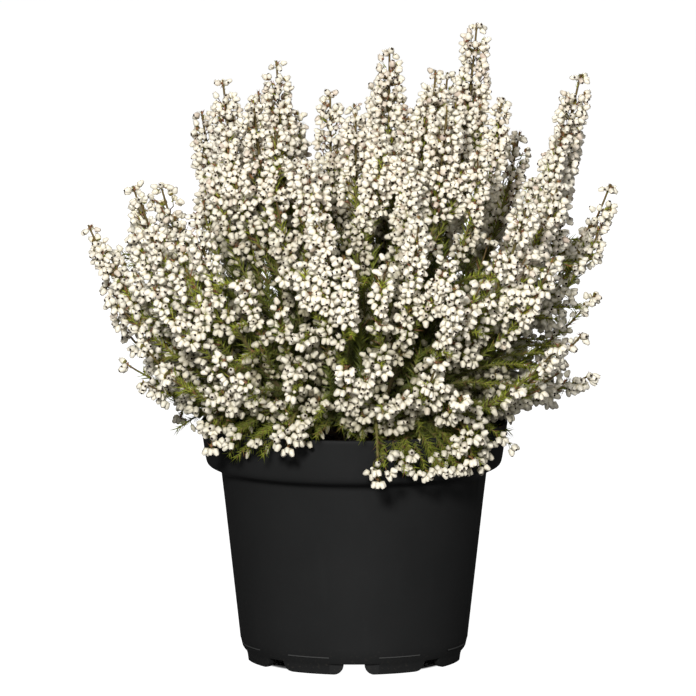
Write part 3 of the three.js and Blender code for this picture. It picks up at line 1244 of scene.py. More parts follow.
@dataclass
class Peat:
    """The root ball, with a lumpy face and loose crumbs on it.

    Attributes:
        sides: How many corners the round has.
        ring_step: The distance between the face's rings of corners.
        profile: Radius and height of the points from its foot to the edge of its face.
        edge: How far in from its edge the face is level.
        crumbs: How many crumbs lie on it.
        finish: The peat.
    """

    sides: int = 96
    ring_step: float = 3.0
    profile: tuple[tuple[float, float], ...] = (
        (0, 6.8), (44.4, 6.8), (45.6, 9.6), (53.9, 81.3), (57.0, 83.7), (60.2, 86.3), (61.0, 90.5),
    )
    edge: float = 6.0
    crumbs: int = 420
    finish: PeatFibre = field(default_factory=PeatFibre)

    @staticmethod
    def height(x: float, y: float) -> float:
        """Work out how far the face stands over or under its level.

        Args:
            x: A place across it, in millimetres.
            y: The same place's depth.

        Returns:
            The height in millimetres.
        """
        broad = math.sin(x * 0.21 + 1) * math.cos(y * 0.17) + 0.5 * math.sin(x * 0.4 - y * 0.33)
        lumps = noise.noise(Vector((x * 0.25, y * 0.25, 3.0)))
        grit = noise.noise(Vector((x * 0.6, y * 0.6, 9.0)))
        return PEAT_RELIEF * broad + 1.3 * (lumps + 0.5 * grit)

    def build(self) -> bpy.types.Object:
        """Model the root ball and its crumbs.

        Returns:
            The peat, which stands for its CAD node.
        """
        rings = list(self.profile)
        rim = rings[-1][0]
        radius = rim - 0.6
        while radius > self.ring_step / 2:
            rings.append((radius, PEAT_TOP))
            radius -= self.ring_step
        rings.append((0, PEAT_TOP))
        peat = Turning("peat_face", self.sides, [(r * MM, z * MM) for r, z in rings]).object
        for vertex in peat.data.vertices:
            if vertex.co.z > (PEAT_TOP - 0.5) * MM:
                x, y = vertex.co.x / MM, vertex.co.y / MM
                inward = min(1.0, (rim - math.hypot(x, y)) / self.edge)
                vertex.co.z += self.height(x, y) * inward * MM
        only(peat, self._crumbs())
        bpy.ops.object.join()
        bpy.ops.object.shade_smooth_by_angle(angle=math.radians(60))
        peat.data.materials.clear()
        peat.data.materials.append(self.finish.build())
        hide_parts("peat")
        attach(peat, "root")
        log.info("peat: %d faces", len(peat.data.polygons))
        return peat

    def _crumbs(self) -> bpy.types.Object:
        """Scatter loose crumbs of peat and bark on the face.

        Returns:
            The crumbs, as one object.
        """
        rolls = random.Random(11)
        bpy.ops.object.select_all(action="DESELECT")
        bpy.ops.mesh.primitive_ico_sphere_add(subdivisions=1, radius=1.0)
        model = bpy.context.object
        bpy.ops.object.mode_set(mode="EDIT")
        bpy.ops.mesh.select_all(action="SELECT")
        bpy.ops.transform.vertex_random(offset=0.25, seed=5)
        bpy.ops.object.mode_set(mode="OBJECT")
        base = np.array([vertex.co for vertex in model.data.vertices])
        faces = [tuple(face.vertices) for face in model.data.polygons]
        bpy.data.objects.remove(model)
        points, all_faces = [], []
        for _ in range(self.crumbs):
            radius = 59 * math.sqrt(rolls.random())
            place = polar(radius, rolls.uniform(0, TURN), 0.0)
            place[2] = PEAT_TOP + self.height(place[0], place[1]) + 0.3
            size = np.array([rolls.uniform(0.5, 1.8), rolls.uniform(0.4, 1.2), rolls.uniform(0.3, 0.9)])
            angle = rolls.uniform(0, TURN)
            cosine, sine = math.cos(angle), math.sin(angle)
            turn = np.array([[cosine, -sine, 0], [sine, cosine, 0], [0, 0, 1]])
            first = len(points) * len(base)
            points.append(place + (base * size) @ turn.T)
            all_faces += [tuple(first + corner for corner in face) for face in faces]
        mesh = bpy.data.meshes.new("crumbs")
        mesh.from_pydata((np.vstack(points) * MM).tolist(), [], all_faces)
        piece = bpy.data.objects.new("crumbs", mesh)
        bpy.context.scene.collection.objects.link(piece)
        return piece


# Plant


@dataclass
class Spike:
    """One upright or hanging stem with its bells, in the room that its CAD node has.

    Attributes:
        number: Its number among the blooms nodes, from 1.
        line: The line that it grows along, in millimetres.
        end: The reach of its bells at the tip.
        hangs: Whether it hangs over the rim.
        bare: The length of bare stem under the bells at its tip.
        reaches: The reach of its bells at even steps along its flowering part.
        shown: How freely it is seen at the same steps, from 0 to 1.
        bloom_from: The share of its length where its flowering part starts.
        low: The widest reach that its bells may have at the start of that part.
        least: The least reach that they have anywhere.
    """

    number: int
    line: Line
    end: float
    hangs: bool
    bare: float
    reaches: np.ndarray | None = None
    shown: np.ndarray | None = None
    bloom_from: float = 0.3
    low: float = 16.0
    least: float = 3.5

    def sector(self, branches: int) -> int:
        """Return the number, from 0, of the branch that carries it."""
        tip = self.line.at(1)
        azimuth = math.atan2(tip[1], tip[0]) % TURN
        return int(azimuth / TURN * branches)

    def measure(self, others: Sequence[np.ndarray], share_of_room: float) -> None:
        """Work out how far its bells may reach along its flowering part, and how much of it shows.

        Args:
            others: The spaced points of every other spike.
            share_of_room: The share of the room between two spikes that one may fill.
        """
        reaches, shown = [], []
        for i in range(STATIONS):
            share = i / (STATIONS - 1)
            spot = self.line.at(blend(self.bloom_from, 1.0, share))
            wish = blend(self.low, self.end, share**1.6)
            out = math.hypot(spot[0], spot[1])
            room = math.hypot(out - RIM_RADIUS, max(0.0, spot[2] - POT_HEIGHT)) - CLEARANCE
            if out < RIM_RADIUS:
                room = min(room, spot[2] - PEAT_TOP - 2 * PEAT_RELIEF)
            for points in others:
                room = min(room, share_of_room * float(np.min(np.linalg.norm(points - spot, axis=1))))
            reaches.append(max(self.least, min(wish, room)))
            shown.append(self._shows(spot, others))
        self.reaches = np.array(reaches)
        self.shown = np.array(shown)

    @staticmethod
    def _shows(spot: Point, others: Sequence[np.ndarray]) -> float:
        """Work out how freely a place is seen from outside the crown.

        Args:
            spot: The place.
            others: The spaced points of every other spike.

        Returns:
            A number from 0, for a place that spikes hide on every side, to 1.
        """
        azimuth = math.atan2(spot[1], spot[0])
        views_from = ((0, 5), (-40, 5), (40, 5), (0, 45), (-90, 5), (90, 5), (0, 85))
        lots = np.repeat(np.arange(len(others)), [len(points) for points in others])
        offsets = np.vstack(others) - spot
        views = []
        for turn, rise in views_from:
            level = math.cos(math.radians(rise))
            way = polar(level, azimuth + math.radians(turn), math.sin(math.radians(rise)))
            ahead = offsets @ way
            aside = np.linalg.norm(offsets - ahead[:, None] * way, axis=1)
            covers = len(set(lots[(ahead > 7) & (aside < 9)]))
            views.append(1 / (1 + covers) ** 1.5)
        return 0.5 * max(views) + 0.5 * float(np.mean(views))

    def _read(self, values: np.ndarray, share: float) -> float:
        """Return one of its measures at a share of its whole length."""
        bloom = (share - self.bloom_from) / (1 - self.bloom_from)
        return float(np.interp(bloom, np.linspace(0, 1, len(values)), values))

    def reach(self, share: float) -> float:
        """Return the reach of its bells at a share of its whole length."""
        return self._read(self.reaches, share)

    def shows(self, share: float) -> float:
        """Return how freely it is seen at a share of its whole length."""
        return self._read(self.shown, share)


@dataclass
class Umbels:
    """How bells stand together at the end of a side shoot.

    Attributes:
        forms: The forms that are copied.
        bell: The length of a bell in the upper crown.
        low_bell: The length of a bell low in the crown, where they hang more.
        stalk: A stalk's share of its bell's length, as the form was modelled.
        width: How wide a bell is for its length.
    """

    forms: Forms
    bell: float = 3.3
    low_bell: float = 3.75
    stalk: float = 0.5
    width: float = 0.88

    def cluster(
        self, bells: Growth, place: Point, out: Point, count: int, nod: float, spread: float = 1.0
    ) -> None:
        """Hang a few bells round the end of a shoot.

        Args:
            bells: The piece that they join.
            place: The end of the shoot.
            out: The way that the shoot points.
            count: How many bells there are.
            nod: How strongly they turn down.
            spread: How far they stand apart.
        """
        rolls = bells.random
        height = (place[2] - 110) / 130
        buried = float(depth(place[None])[0])
        first = rolls.uniform(0, TURN)
        side = unit(np.cross(out, UP) + 1e-6)
        above = np.cross(side, out)
        for j in range(count):
            angle = first + j * TURN / count + rolls.uniform(-0.35, 0.35)
            tilt = math.radians(rolls.uniform(44, 80)) * spread
            aside = side * math.cos(angle) + above * math.sin(angle)
            way = out * (math.cos(tilt) + 0.25) + aside * math.sin(tilt) + outward(place) * 0.25
            way = unit(way - UP * nod * rolls.uniform(0.5, 1.3))
            size = blend(self.low_bell, self.bell, portion(height, 0.0, 1.0)) * rolls.uniform(0.86, 1.1)
            foot = place + (way * self.stalk + UP * 0.12 * nod) * size * rolls.uniform(0.85, 1.05)
            # Higher bells get more of the petal's rose-grey, which is their own tint and partly painted
            # shade.
            tint = min(1.0, max(0.0, rolls.gauss(blend(0.22, 0.52, height), 0.2)))
            if rolls.random() < 0.06:
                bells.put(self.forms.bud, foot, way, size * 0.62, tint=tint)
            elif float(np.dot(way, outward(place))) > 0.3 and buried < 0.12:
                wide = size * self.width * rolls.uniform(0.9, 1.04)
                bells.put(self.forms.bell, foot, way, size, wide, tint)
            else:
                bells.put(self.forms.plain_bell, foot, way, size, size * self.width, tint)


@dataclass
class Heath:
    """The plant: eight woody branches and the spikes that they carry.

    Attributes:
        forms: The forms that are copied.
        branches: How many trunks stand in the peat.
        trunk_ring: The radius of the ring that they stand in, and trunk_lean how far they lean out.
        trunk_foot: The height of their feet, and trunk_fork of their forks.
        crown: The height that the spikes' reaches are counted from.
        bend_out: Where an upright spike bends, as a share of its way out, and bend_up of its rise.
        share_of_room: The share of the room between two spikes that one may fill.
        outline: The tips that make the outline seen from the front.
        outline_end: The reach of the bells at those tips.
        rings: The rings of spikes round them: lean, length, reach of the bells at the tip, azimuths.
        reach_jitter: How much a ring's lengths vary, and azimuth_jitter its azimuths in degrees.
        drooper_hump: How high the spikes that hang over the rim rise first.
        drooper_end: The reach of the bells at their tips.
        drooper_tips: Azimuth, radius and height of their tips.
        pitch: How densely side shoots stand: the larger, the fewer.
        rope: The radius of a spike's bells where it is hidden and where it stands free.
        spikes: Every spike, in the order of the blooms nodes.
    """

    forms: Forms
    branches: int = 8
    trunk_ring: float = 13.0
    trunk_lean: float = 4.0
    trunk_foot: float = 77.5
    trunk_fork: float = 100.0
    crown: float = 95.0
    bend_out: float = 0.74
    bend_up: float = 0.33
    share_of_room: float = 0.5
    outline_end: float = 6.5
    outline: tuple[tuple[float, float, float], ...] = (
        (-112, -4, 185), (-94, 23, 199), (-65, 33, 230), (-55, -14, 247), (-33, 27, 252),
        (-10, -14, 242), (15, 10, 258), (34, -25, 252), (52, 14, 269), (71, 45, 220),
        (95, -8, 249), (85, -47, 208), (109, 21, 200),
    )
    rings: tuple[tuple[float, float, float, tuple[float, ...]], ...] = (
        (24, 155, 7, (58, 92, 128, 232, 268, 305)),
        (44, 142, 9, (44, 78, 112, 146, 206, 232, 258, 284, 309)),
        (66, 109, 11.5, (4, 32, 62, 92, 122, 152, 180, 208, 236, 264, 292, 322, 344)),
    )
    reach_jitter: float = 0.07
    azimuth_jitter: float = 5.0
    drooper_hump: float = 131.0
    drooper_end: float = 11.0
    drooper_tips: tuple[tuple[float, float, float], ...] = (
        (18, 88, 105), (48, 82, 87), (108, 82, 87), (160, 79, 98),
        (222, 80, 96), (250, 80, 99), (277, 81, 86), (307, 81, 93),
    )
    pitch: float = 9.7
    rope: tuple[float, float] = (6.0, 9.4)
    spikes: list[Spike] = field(default_factory=list)

    def __post_init__(self) -> None:
        """Lay out every spike as the CAD model has it."""
        self.umbels = Umbels(self.forms)
        self.petal, self.calyx, self.throat = Petal().build(), Calyx().build(), Throat().build()
        self.bark, self.leaf = Bark().build(), Leaf().build()
        rolls = random.Random(3)
        for tip in self.outline:
            self._add(np.array(tip, dtype=float), self.outline_end, None, rolls.uniform(2.0, 5.5))
        draws = repeatable(7)
        for lean, reach, end, azimuths in self.rings:
            for azimuth in azimuths:
                turn = math.radians(azimuth + self.azimuth_jitter * (2 * next(draws) - 1))
                length = reach * (1 + self.reach_jitter * (2 * next(draws) - 1))
                tilt = math.radians(lean)
                tip = polar(length * math.sin(tilt), turn, self.crown + length * math.cos(tilt))
                self._add(tip, end, None, rolls.uniform(0.5, 4))
        for azimuth, radius, height in self.drooper_tips:
            tip = polar(radius, math.radians(azimuth), height)
            self._add(tip, self.drooper_end, self.drooper_hump, 1.0)
        samples = [spike.line.spaced(24)[4:] for spike in self.spikes]
        for i, spike in enumerate(self.spikes):
            spike.measure(samples[:i] + samples[i + 1 :], self.share_of_room)

    def trunk(self, sector: int) -> Line:
        """Draw a trunk.

        Args:
            sector: The number of its branch, from 0.

        Returns:
            Its line.
        """
        azimuth = (sector + 0.5) * TURN / self.branches
        foot = polar(self.trunk_ring, azimuth, self.trunk_foot)
        fork = polar(self.trunk_ring + self.trunk_lean, azimuth, self.trunk_fork)
        return Line(np.array([foot, fork]))

    def _add(self, tip: Point, end: float, hump: float | None, bare: float) -> None:
        """Add a spike.

        Args:
            tip: Where it ends.
            end: The reach of its bells there.
            hump: How high it rises first, if it hangs over the rim.
            bare: The length of bare stem under the bells at its tip.
        """
        out = math.hypot(tip[0], tip[1])
        azimuth = math.atan2(tip[1], tip[0])
        sector = int((azimuth % TURN) / TURN * self.branches)
        fork = self.trunk(sector).at(1)
        fork[2] -= 2
        if hump is None:
            radius = self.trunk_ring + (out - self.trunk_ring) * self.bend_out
            height = self.crown + (tip[2] - self.crown) * self.bend_up
        else:
            radius, height = 0.93 * out, hump
        line = Line.arc(fork, polar(radius, azimuth, height), tip)
        self.spikes.append(Spike(len(self.spikes) + 1, line, end, hump is not None, bare))

    @staticmethod
    def _keep(rolls: random.Random, place: Point, outside: float, shows: float) -> bool:
        """Tell whether a cluster is kept.

        Fewer stand on a spike's inner side, inside the crown, low down and where the plant is thin.

        Args:
            rolls: The source of chance.
            place: Where the cluster stands.
            outside: How far it faces out of the crown, from -1 to 1.
            shows: How freely the spike is seen there.

        Returns:
            Whether the cluster is kept.
        """
        free = portion(shows, 0.45, 0.3) * portion(place[2], 190, 20)
        inner = max(free, 1.0 if outside > 0.1 else 0.7 if outside > -0.35 else 0.3)
        low = portion(place[2], 92, 85)
        thin = max(free, noise.noise(Vector(place / 26.0)) * 0.9 + 0.92)
        seen = portion(shows, 0.17, 0.38)
        buried = (1 - 0.85 * float(depth(place[None])[0])) * (1 - 0.85 * thinned(place))
        return rolls.random() < inner * blend(0.5, 1.0, low) * min(thin, 1.0) * seen * buried

    def bloom(self, spike: Spike, bells: Growth, wood: Growth) -> None:
        """Grow a spike's clusters of bells with their shoots and needles.

        Args:
            spike: The spike.
            bells: The piece that its bells join.
            wood: The piece that its shoots and needles join.
        """
        rolls = bells.random
        line = spike.line
        share = (0.78 if spike.hangs else spike.bloom_from + rolls.uniform(0.0, 0.1)) + 2 / line.length
        stop = 1 - (spike.bare + 3.0) / line.length
        angle = rolls.uniform(0, TURN)
        while share < stop:
            reach = min(spike.reach(share), self._rope(spike, share))
            angle += GOLDEN_ANGLE + rolls.uniform(-0.25, 0.25)
            self._side_shoot(spike, share, angle, reach, bells, wood)
            pitch = self.pitch * (0.55 if spike.hangs else 1.0)
            share += pitch / reach / line.length * rolls.uniform(0.8, 1.2)
        self._tip(spike, bells, wood)

    def _rope(self, spike: Spike, share: float) -> float:
        """Work out how thick a spike is with bells: slim in the crown, full where it stands free.

        Args:
            spike: The spike.
            share: The share of its length.

        Returns:
            The radius in millimetres.
        """
        if spike.hangs:
            return blend(6.5, 9.0, share)
        height = portion(spike.line.at(share)[2], 165, 45)
        free = portion(spike.shows(share), 0.2, 0.35)
        return blend(*self.rope, height * free) * (1 + 0.12 * math.sin(share * 37 + spike.number))

    def spikelets(self, spike: Spike) -> list[Spike]:
        """Lay out the shorter spikes that branch off a spike and fill the gaps beside it.

        Args:
            spike: The spike that carries them.

        Returns:
            The shorter spikes, already measured.
        """
        if spike.hangs:
            return []
        rolls = random.Random(500 + spike.number)
        line = spike.line
        tip = line.at(1)
        made = []
        side = rolls.choice((-1, 1))
        count = 5 if tip[2] > 200 else 3
        for i in range(count):
            since = blend(0.16, 0.55, i / (count - 1)) + rolls.uniform(-0.03, 0.05)
            start = line.at(since)
            aside = unit(np.cross(UP, start - UP * start[2]) + 1e-6)
            aside = unit(aside * side * (-1) ** i + outward(start) * rolls.uniform(-0.1, 0.9))
            length = min((1 - since) * line.length * rolls.uniform(0.55, 0.82), 92.0)
            made.append(self._branch_off(spike, since, aside, length, rolls.uniform(11, 20)))
        if math.hypot(tip[0], tip[1]) < 72 and tip[2] > 200:
            for since in (0.1, 0.2):
                inward = unit(np.array([-tip[0], -tip[1], 0.0]) + polar(30, rolls.uniform(0, TURN), 0))
                length, lean = rolls.uniform(90, 112), rolls.uniform(26, 36)
                made.append(self._branch_off(spike, since, inward, length, lean))
        return made

    @staticmethod
    def _branch_off(spike: Spike, since: float, aside: Point, length: float, lean: float) -> Spike:
        """Lay out a shorter spike that leaves another.

        Args:
            spike: The spike that carries it.
            since: The share of that spike's line where it leaves.
            aside: Which way it leaves.
            length: How long it is, in millimetres.
            lean: How far it leans away, in degrees.

        Returns:
            The shorter spike, measured.
        """
        line = spike.line
        start, along = line.at(since), line.along(since)
        ahead = unit(line.at(min(since + 0.45, 1.0)) - start)
        turn = math.radians(lean)
        tip = start + ahead * length * math.cos(turn) + aside * length * math.sin(turn)
        bend = start + along * length * 0.45 + aside * length * 0.3
        shown = np.full(STATIONS, spike.shows(min(since + 0.3, 1.0)) * 0.8 + 0.2)
        reaches = np.linspace(7.4, 6.0, STATIONS)
        return Spike(spike.number, Line.arc(start, bend, tip, 40), 5.5, False, 2.0, reaches, shown)

    def _side_shoot(
        self, spike: Spike, share: float, angle: float, reach: float, bells: Growth, wood: Growth
    ) -> None:
        """Grow one shoot out of a spike, with a cluster at its end.

        Args:
            spike: The spike.
            share: The share of its length where the shoot's cluster stands.
            angle: Which way it points, as an angle round the spike.
            reach: How far out the cluster reaches.
            bells: The piece that the cluster joins.
            wood: The piece that the shoot and its needles join.
        """
        rolls = bells.random
        line = spike.line
        out = across(line.along(share), angle)
        spot = line.at(share)
        outside = float(np.dot(out, outward(spot + out * reach)))
        if not self._keep(rolls, spot, outside, spike.shows(share)):
            return
        rise = 0.55 if not spike.hangs else -0.2
        place = spot + out * max(reach - 5.0, 0.5) * rolls.uniform(0.72, 1.08)
        root = line.at(max(share - max(0.55 * reach, 2.5) / line.length, 0.02))
        way = unit(out + UP * rise * 0.6)
        low = portion(150 - spot[2], 0, 60)
        self.umbels.cluster(bells, place, way, rolls.choice((3, 4, 4, 5, 5, 6)), blend(0.62, 0.85, low))
        shoot = place - root
        wood.put(self.forms.twig, root, shoot, float(np.linalg.norm(shoot)), 11.0, 0.5, side=-out)
        for _ in range(3 if outside > 0 else 1):
            spread = np.array([rolls.uniform(-1, 1) for _ in range(3)])
            start = root + shoot * rolls.uniform(0.45, 1.0)
            tint = 1.0 if rolls.random() < blend(0.6, 0.05, low) else None
            way = out + UP * 0.9 + spread * 0.7
            wood.put(self.forms.plain_needle, start, way, rolls.uniform(3.4, 5.4), 5.5, tint)

    def _tip(self, spike: Spike, bells: Growth, wood: Growth) -> None:
        """Put the last cluster on a spike, over a short bare stem.

        Args:
            spike: The spike.
            bells: The piece that the cluster joins.
            wood: The piece that the needles join.
        """
        rolls = bells.random
        line = spike.line
        needle = self.forms.plain_needle
        place = line.at(1 - 2.0 / line.length)
        self.umbels.cluster(bells, place, line.along(1.0), rolls.choice((5, 6, 7)), 1.0, 1.15)
        count = int(spike.bare / 1.6) * 3
        for i in range(count):
            share = 1 - (1.5 + spike.bare * i / count) / line.length
            way = np.array([rolls.uniform(-1, 1) for _ in range(3)])
            along = line.along(share)
            aside = unit(way - np.dot(way, along) * along)
            wood.put(needle, line.at(share), along + aside * 0.7, rolls.uniform(1.6, 2.6), 5.0)
        for _ in range(5):
            way = unit(np.array([rolls.uniform(-1, 1) for _ in range(3)]) + UP * 0.4)
            wood.put(needle, line.at(1 - 1.5 / line.length), way, rolls.uniform(2.0, 3.0), 7.0, 1.0)

    def leaves(
        self,
        line: Line,
        wood: Growth,
        since: float,
        upto: float,
        spacing: float,
        length: float,
        form: Shape | None = None,
    ) -> None:
        """Set whorls of needles along a line.

        Args:
            line: The line.
            wood: The piece that they join.
            since: The share of the line where they start.
            upto: The share where they end.
            spacing: The distance between whorls, in millimetres.
            length: The length of a needle, in millimetres.
            form: The needle, if it isn't the curved one.
        """
        rolls = wood.random
        run = since * line.length
        turn = 0.0
        while run < upto * line.length:
            share = run / line.length
            along, spot = line.along(share), line.at(share)
            turn += math.pi / 4 + rolls.uniform(-0.3, 0.3)
            for j in range(4):
                way = across(along, turn + j * TURN / 4) + along * rolls.uniform(0.8, 1.9)
                size = length * rolls.uniform(0.7, 1.15)
                wood.put(form or self.forms.needle, spot, way, size, size, side=along)
            run += spacing * rolls.uniform(0.8, 1.2)

    def build(self) -> None:
        """Grow and dress the whole plant."""
        woods = [Growth(100 + k) for k in range(self.branches)]
        for k, wood in enumerate(woods):
            wood.stem(self.trunk(k), (2.7, 2.2), (0.0, 0.1), 8, 10)
        for spike in self.spikes:
            wood = woods[spike.sector(self.branches)]
            bells = Growth(1000 + spike.number)
            wood.stem(spike.line, (1.5, 0.42), (0.12, 0.8), 22, 5)
            self.leaves(spike.line, wood, 0.1, spike.bloom_from, 2.2, 5.2)
            upto, length = (0.97, 3.8) if spike.hangs else (0.8, 6.4)
            self.leaves(spike.line, wood, spike.bloom_from, upto, 2.2, length, self.forms.plain_needle)
            self.bloom(spike, bells, wood)
            for smaller in self.spikelets(spike):
                wood.stem(smaller.line, (0.6, 0.35), (0.4, 0.85), 10, 4)
                self.leaves(smaller.line, wood, 0.05, 0.85, 2.1, 6.0, self.forms.plain_needle)
                self.bloom(smaller, bells, wood)
            piece = bells.build(f"bells_{spike.number:02d}", (self.petal, self.calyx, self.throat))
            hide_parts(f"blooms_{spike.number:02d}")
            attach(piece, "root")
        lows = LowShoots(self)
        lows.grow(woods)
        for k, wood in enumerate(woods):
            piece = wood.build(f"leafy_branch_{k + 1}", (self.bark, self.leaf))
            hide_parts(f"branch_{k + 1}")
            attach(piece, "root")


@dataclass
class LowShoots:
    """Short leafy shoots low in the crown, some with bells, that hide the peat.

    Attributes:
        heath: The plant that they belong to.
        tiers: The even rounds of shoots: count, radius, height and offset of their tips.
        thicket: The shoots inside the crown, darkened with painted shade: count, radius and height of their
            tips.
        tufts: The bunches listed one by one: azimuth, radius and height of the tips, and count.
        low_tuft: The height under which a tuft hangs over the rim and has few bells.
    """

    heath: Heath
    tiers: tuple[tuple[int, float, float, float], ...] = (
        (30, 66, 103, 0.2), (28, 76, 110, 0.0), (28, 84, 120, 0.5),
        (26, 90, 134, 0.25), (22, 88, 150, 0.6), (20, 93, 168, 0.1),
    )
    thicket: tuple[tuple[int, float, float], ...] = (
        (9, 22, 145), (12, 34, 128), (14, 46, 150), (16, 56, 134),
        (16, 66, 146), (8, 34, 180), (12, 52, 172),
    )
    tufts: tuple[tuple[float, float, float, int], ...] = (
        (253, 75, 107, 11), (220, 75, 99, 8), (234, 75, 98, 8), (266, 68, 101, 4), (284, 75, 93, 10),
        (296, 76, 93, 10), (308, 76, 93, 10), (320, 75, 97, 8), (345, 82, 116, 4), (358, 93, 152, 4),
        (10, 93, 172, 4), (185, 97, 146, 4), (172, 98, 165, 4), (75, 66, 104, 7), (150, 68, 104, 7),
        (30, 72, 104, 6), (110, 70, 100, 6), (190, 72, 104, 5),
    )
    low_tuft: float = 115.0

    def grow(self, woods: Sequence[Growth]) -> None:
        """Grow the shoots.

        Args:
            woods: The branch pieces that their wood and needles join, one for each sector.
        """
        heath = self.heath
        rolls = random.Random(21)
        flowers = [Growth(300 + k) for k in range(heath.branches)]
        for tier, (count, radius, height, offset) in enumerate(self.tiers):
            for i in range(count):
                azimuth = (i + offset) * TURN / count + rolls.uniform(-0.06, 0.06)
                out = radius * rolls.uniform(0.88, 1.05)
                tip = polar(out, azimuth, height + rolls.uniform(-5, 5))
                line, sector = self._shoot(tip, rolls.uniform(4, 14), woods)
                if tier and (i + tier) % 2 == 1:
                    self._flower(line, flowers[sector], woods[sector])
        for azimuth, radius, height, count in self.tufts:
            for _ in range(count):
                turn = math.radians(azimuth + rolls.uniform(-7, 7))
                tip = polar(radius * rolls.uniform(0.9, 1.05), turn, height + rolls.uniform(-5, 7))
                line, sector = self._shoot(tip, max(5.0, 118 - tip[2]) * rolls.uniform(0.8, 1.2), woods)
                if height > self.low_tuft:
                    self._flower(line, flowers[sector], woods[sector])
                elif rolls.random() < 0.3:
                    way = np.array([rolls.uniform(-0.5, 0.5), rolls.uniform(-0.5, 0.5), -1.0])
                    foot = line.at(rolls.uniform(0.8, 1.0)) - UP * 2.2
                    flowers[sector].put(heath.forms.slender, foot, way, rolls.uniform(3.4, 4.6), 3.8, 0.3)
                elif rolls.random() < (0.8 if azimuth > 280 else 0.4):
                    way = unit(line.along(1.0) + UP * 0.4)
                    heath.umbels.cluster(flowers[sector], line.at(1.0), way, rolls.choice((3, 4, 5)), 1.0)
        for count, radius, height in self.thicket:
            for i in range(count):
                azimuth = (i + rolls.random() * 0.6) * TURN / count
                self._fill(polar(radius, azimuth, height + rolls.uniform(-12, 12)), woods)
        for k, growth in enumerate(flowers):
            piece = growth.build(f"low_bells_{k + 1}", (heath.petal, heath.calyx, heath.throat))
            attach(piece, "root")

    def _fill(self, tip: Point, woods: Sequence[Growth]) -> None:
        """Grow a leafy shoot inside the crown, which painted shade darkens.

        Args:
            tip: Where it ends.
            woods: The branch pieces, one for each sector.
        """
        heath = self.heath
        azimuth = math.atan2(tip[1], tip[0]) % TURN
        sector = int(azimuth / TURN * heath.branches)
        start = heath.trunk(sector).at(1) - UP * 2
        line = Line.arc(start, polar(math.hypot(tip[0], tip[1]) * 0.8, azimuth, 108), tip, 40)
        woods[sector].stem(line, (0.7, 0.3), (0.15, 0.6), 8, 3)
        heath.leaves(line, woods[sector], 0.2, 1.0, 1.5, 7.0, heath.forms.plain_needle)

    def _shoot(self, tip: Point, hump: float, woods: Sequence[Growth]) -> tuple[Line, int]:
        """Grow one leafy shoot to a tip.

        Args:
            tip: Where it ends.
            hump: How far it rises over its tip on its way out.
            woods: The branch pieces, one for each sector.

        Returns:
            Its line and the number of its sector.
        """
        heath = self.heath
        azimuth = math.atan2(tip[1], tip[0]) % TURN
        sector = int(azimuth / TURN * heath.branches)
        start = heath.trunk(sector).at(1) - UP * 2
        bend = polar(math.hypot(tip[0], tip[1]) * 0.62, azimuth, tip[2] + hump)
        line = Line.arc(start, bend, tip, 40)
        woods[sector].stem(line, (1.0, 0.3), (0.15, 0.75), 10, 3)
        heath.leaves(line, woods[sector], 0.45, 1.0, 1.5, 4.4, heath.forms.plain_needle)
        return line, sector

    def _flower(self, line: Line, flowers: Growth, wood: Growth) -> None:
        """Hang clusters of bells along the outer half of a shoot.

        Args:
            line: The shoot's line.
            flowers: The piece that the bells join.
            wood: The piece that their twigs join.
        """
        heath = self.heath
        rolls = flowers.random
        run = 0.5 * line.length
        angle = rolls.uniform(0, TURN)
        while run < line.length - 1:
            share = run / line.length
            along, spot = line.along(share), line.at(share)
            angle += GOLDEN_ANGLE
            out = across(along, angle)
            if float(np.dot(out, outward(spot))) > -0.4 and rolls.random() > 0.8 * thinned(spot):
                place = spot + out * rolls.uniform(1.5, 4.0)
                way = unit(out + outward(spot) * 0.6)
                heath.umbels.cluster(flowers, place, way, rolls.choice((3, 4, 5)), 0.75)
                root = line.at(share - 2 / line.length)
                wood.put(heath.forms.twig, root, place - spot + along * 2, 4.0, 8.0, 0.5)
            run += rolls.uniform(3.2, 5.0)
        heath.umbels.cluster(flowers, line.at(1.0), line.along(1.0), 5, 0.5, 1.2)


# Studio


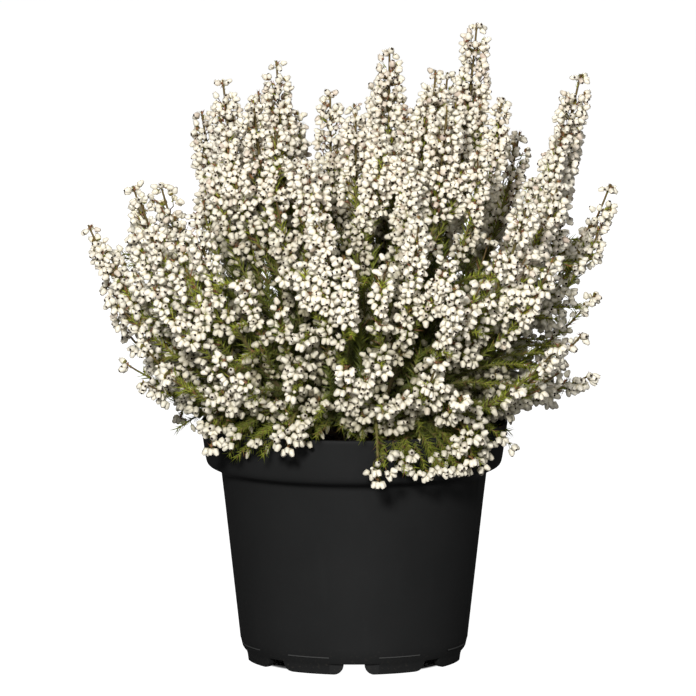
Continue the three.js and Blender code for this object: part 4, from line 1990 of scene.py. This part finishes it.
@dataclass
class Studio:
    """The floor, the soft lights and the camera.

    Attributes:
        floor_size: The floor's length and width in metres.
        camera_place: Where the camera stands, and camera_target the point that it looks at.
        lens: Its focal length in millimetres.
        lights: Name, place in metres, size in metres and power in watts of each light.
    """

    floor_size: float = 60.0
    camera_place: tuple[float, float, float] = (-0.00255, -2.66, 0.460)
    camera_target: tuple[float, float, float] = (-0.00255, 0.0, 0.13225)
    lens: float = 327.8
    lights: tuple[tuple[str, tuple[float, float, float], float, float], ...] = (
        ("key", (-0.32, -2.3, 1.0), 0.33, 65.0),
        ("fill", (0.3, -2.45, 0.5), 0.7, 12.0),
        ("top", (0.0, 0.1, 1.7), 0.8, 3.0),
        ("back", (0.0, 2.1, 0.9), 0.6, 16.0),
    )

    def build(self) -> None:
        """Set up the whole studio."""
        self._camera()
        self._floor()
        for name, place, size, power in self.lights:
            self._light(name, place, size, power)
        world = bpy.data.worlds.new("studio")
        world.use_nodes = True
        background = world.node_tree.nodes["Background"]
        seen = world.node_tree.nodes.new("ShaderNodeLightPath")
        shade = world.node_tree.nodes.new("ShaderNodeMix")
        shade.data_type = "RGBA"
        shade.inputs[6].default_value = (0.02, 0.02, 0.02, 1.0)
        shade.inputs[7].default_value = (1.0, 1.0, 1.0, 1.0)
        world.node_tree.links.new(seen.outputs["Is Camera Ray"], shade.inputs[0])
        world.node_tree.links.new(shade.outputs[2], background.inputs["Color"])
        bpy.context.scene.world = world
        bpy.context.scene.view_settings.view_transform = "Standard"

    def _camera(self) -> None:
        """Place the camera where the photograph was taken from."""
        data = bpy.data.cameras.new("camera")
        data.lens = self.lens
        data.clip_end = 200.0
        camera = bpy.data.objects.new("camera", data)
        camera.location = self.camera_place
        way = Vector(self.camera_target) - Vector(self.camera_place)
        camera.rotation_euler = way.to_track_quat("-Z", "Y").to_euler()
        bpy.context.scene.collection.objects.link(camera)
        bpy.context.scene.camera = camera

    def _floor(self) -> None:
        """Lay the floor."""
        bpy.ops.object.select_all(action="DESELECT")
        bpy.ops.mesh.primitive_plane_add(size=self.floor_size, location=(0, 0, 0))
        floor = bpy.context.object
        floor.name = "studio_floor"
        floor.data.materials.append(StudioFloor().build())

    def _light(self, name: str, place: tuple[float, float, float], size: float, power: float) -> None:
        """Hang a square soft light that faces the plant."""
        data = bpy.data.lights.new(name, "AREA")
        data.shape, data.size, data.energy = "SQUARE", size, power
        light = bpy.data.objects.new(name, data)
        light.location = place
        light.rotation_euler = (Vector((0, 0, 0.13)) - Vector(place)).to_track_quat("-Z", "Y").to_euler()
        bpy.context.scene.collection.objects.link(light)


def plain(bounds: Iterable[Iterable[float]]) -> list[list[float]]:
    """Return a box's corners as plain lists."""
    return [[float(value) for value in corner] for corner in bounds]


def main() -> None:
    """Build the studio, the pot, the peat and the plant."""
    logging.basicConfig(level=logging.INFO, format="%(name)s %(message)s")
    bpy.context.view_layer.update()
    Studio().build()
    Pot().build()
    Peat().build()
    Heath(Forms()).build()


if __name__ == "__main__":
    main()
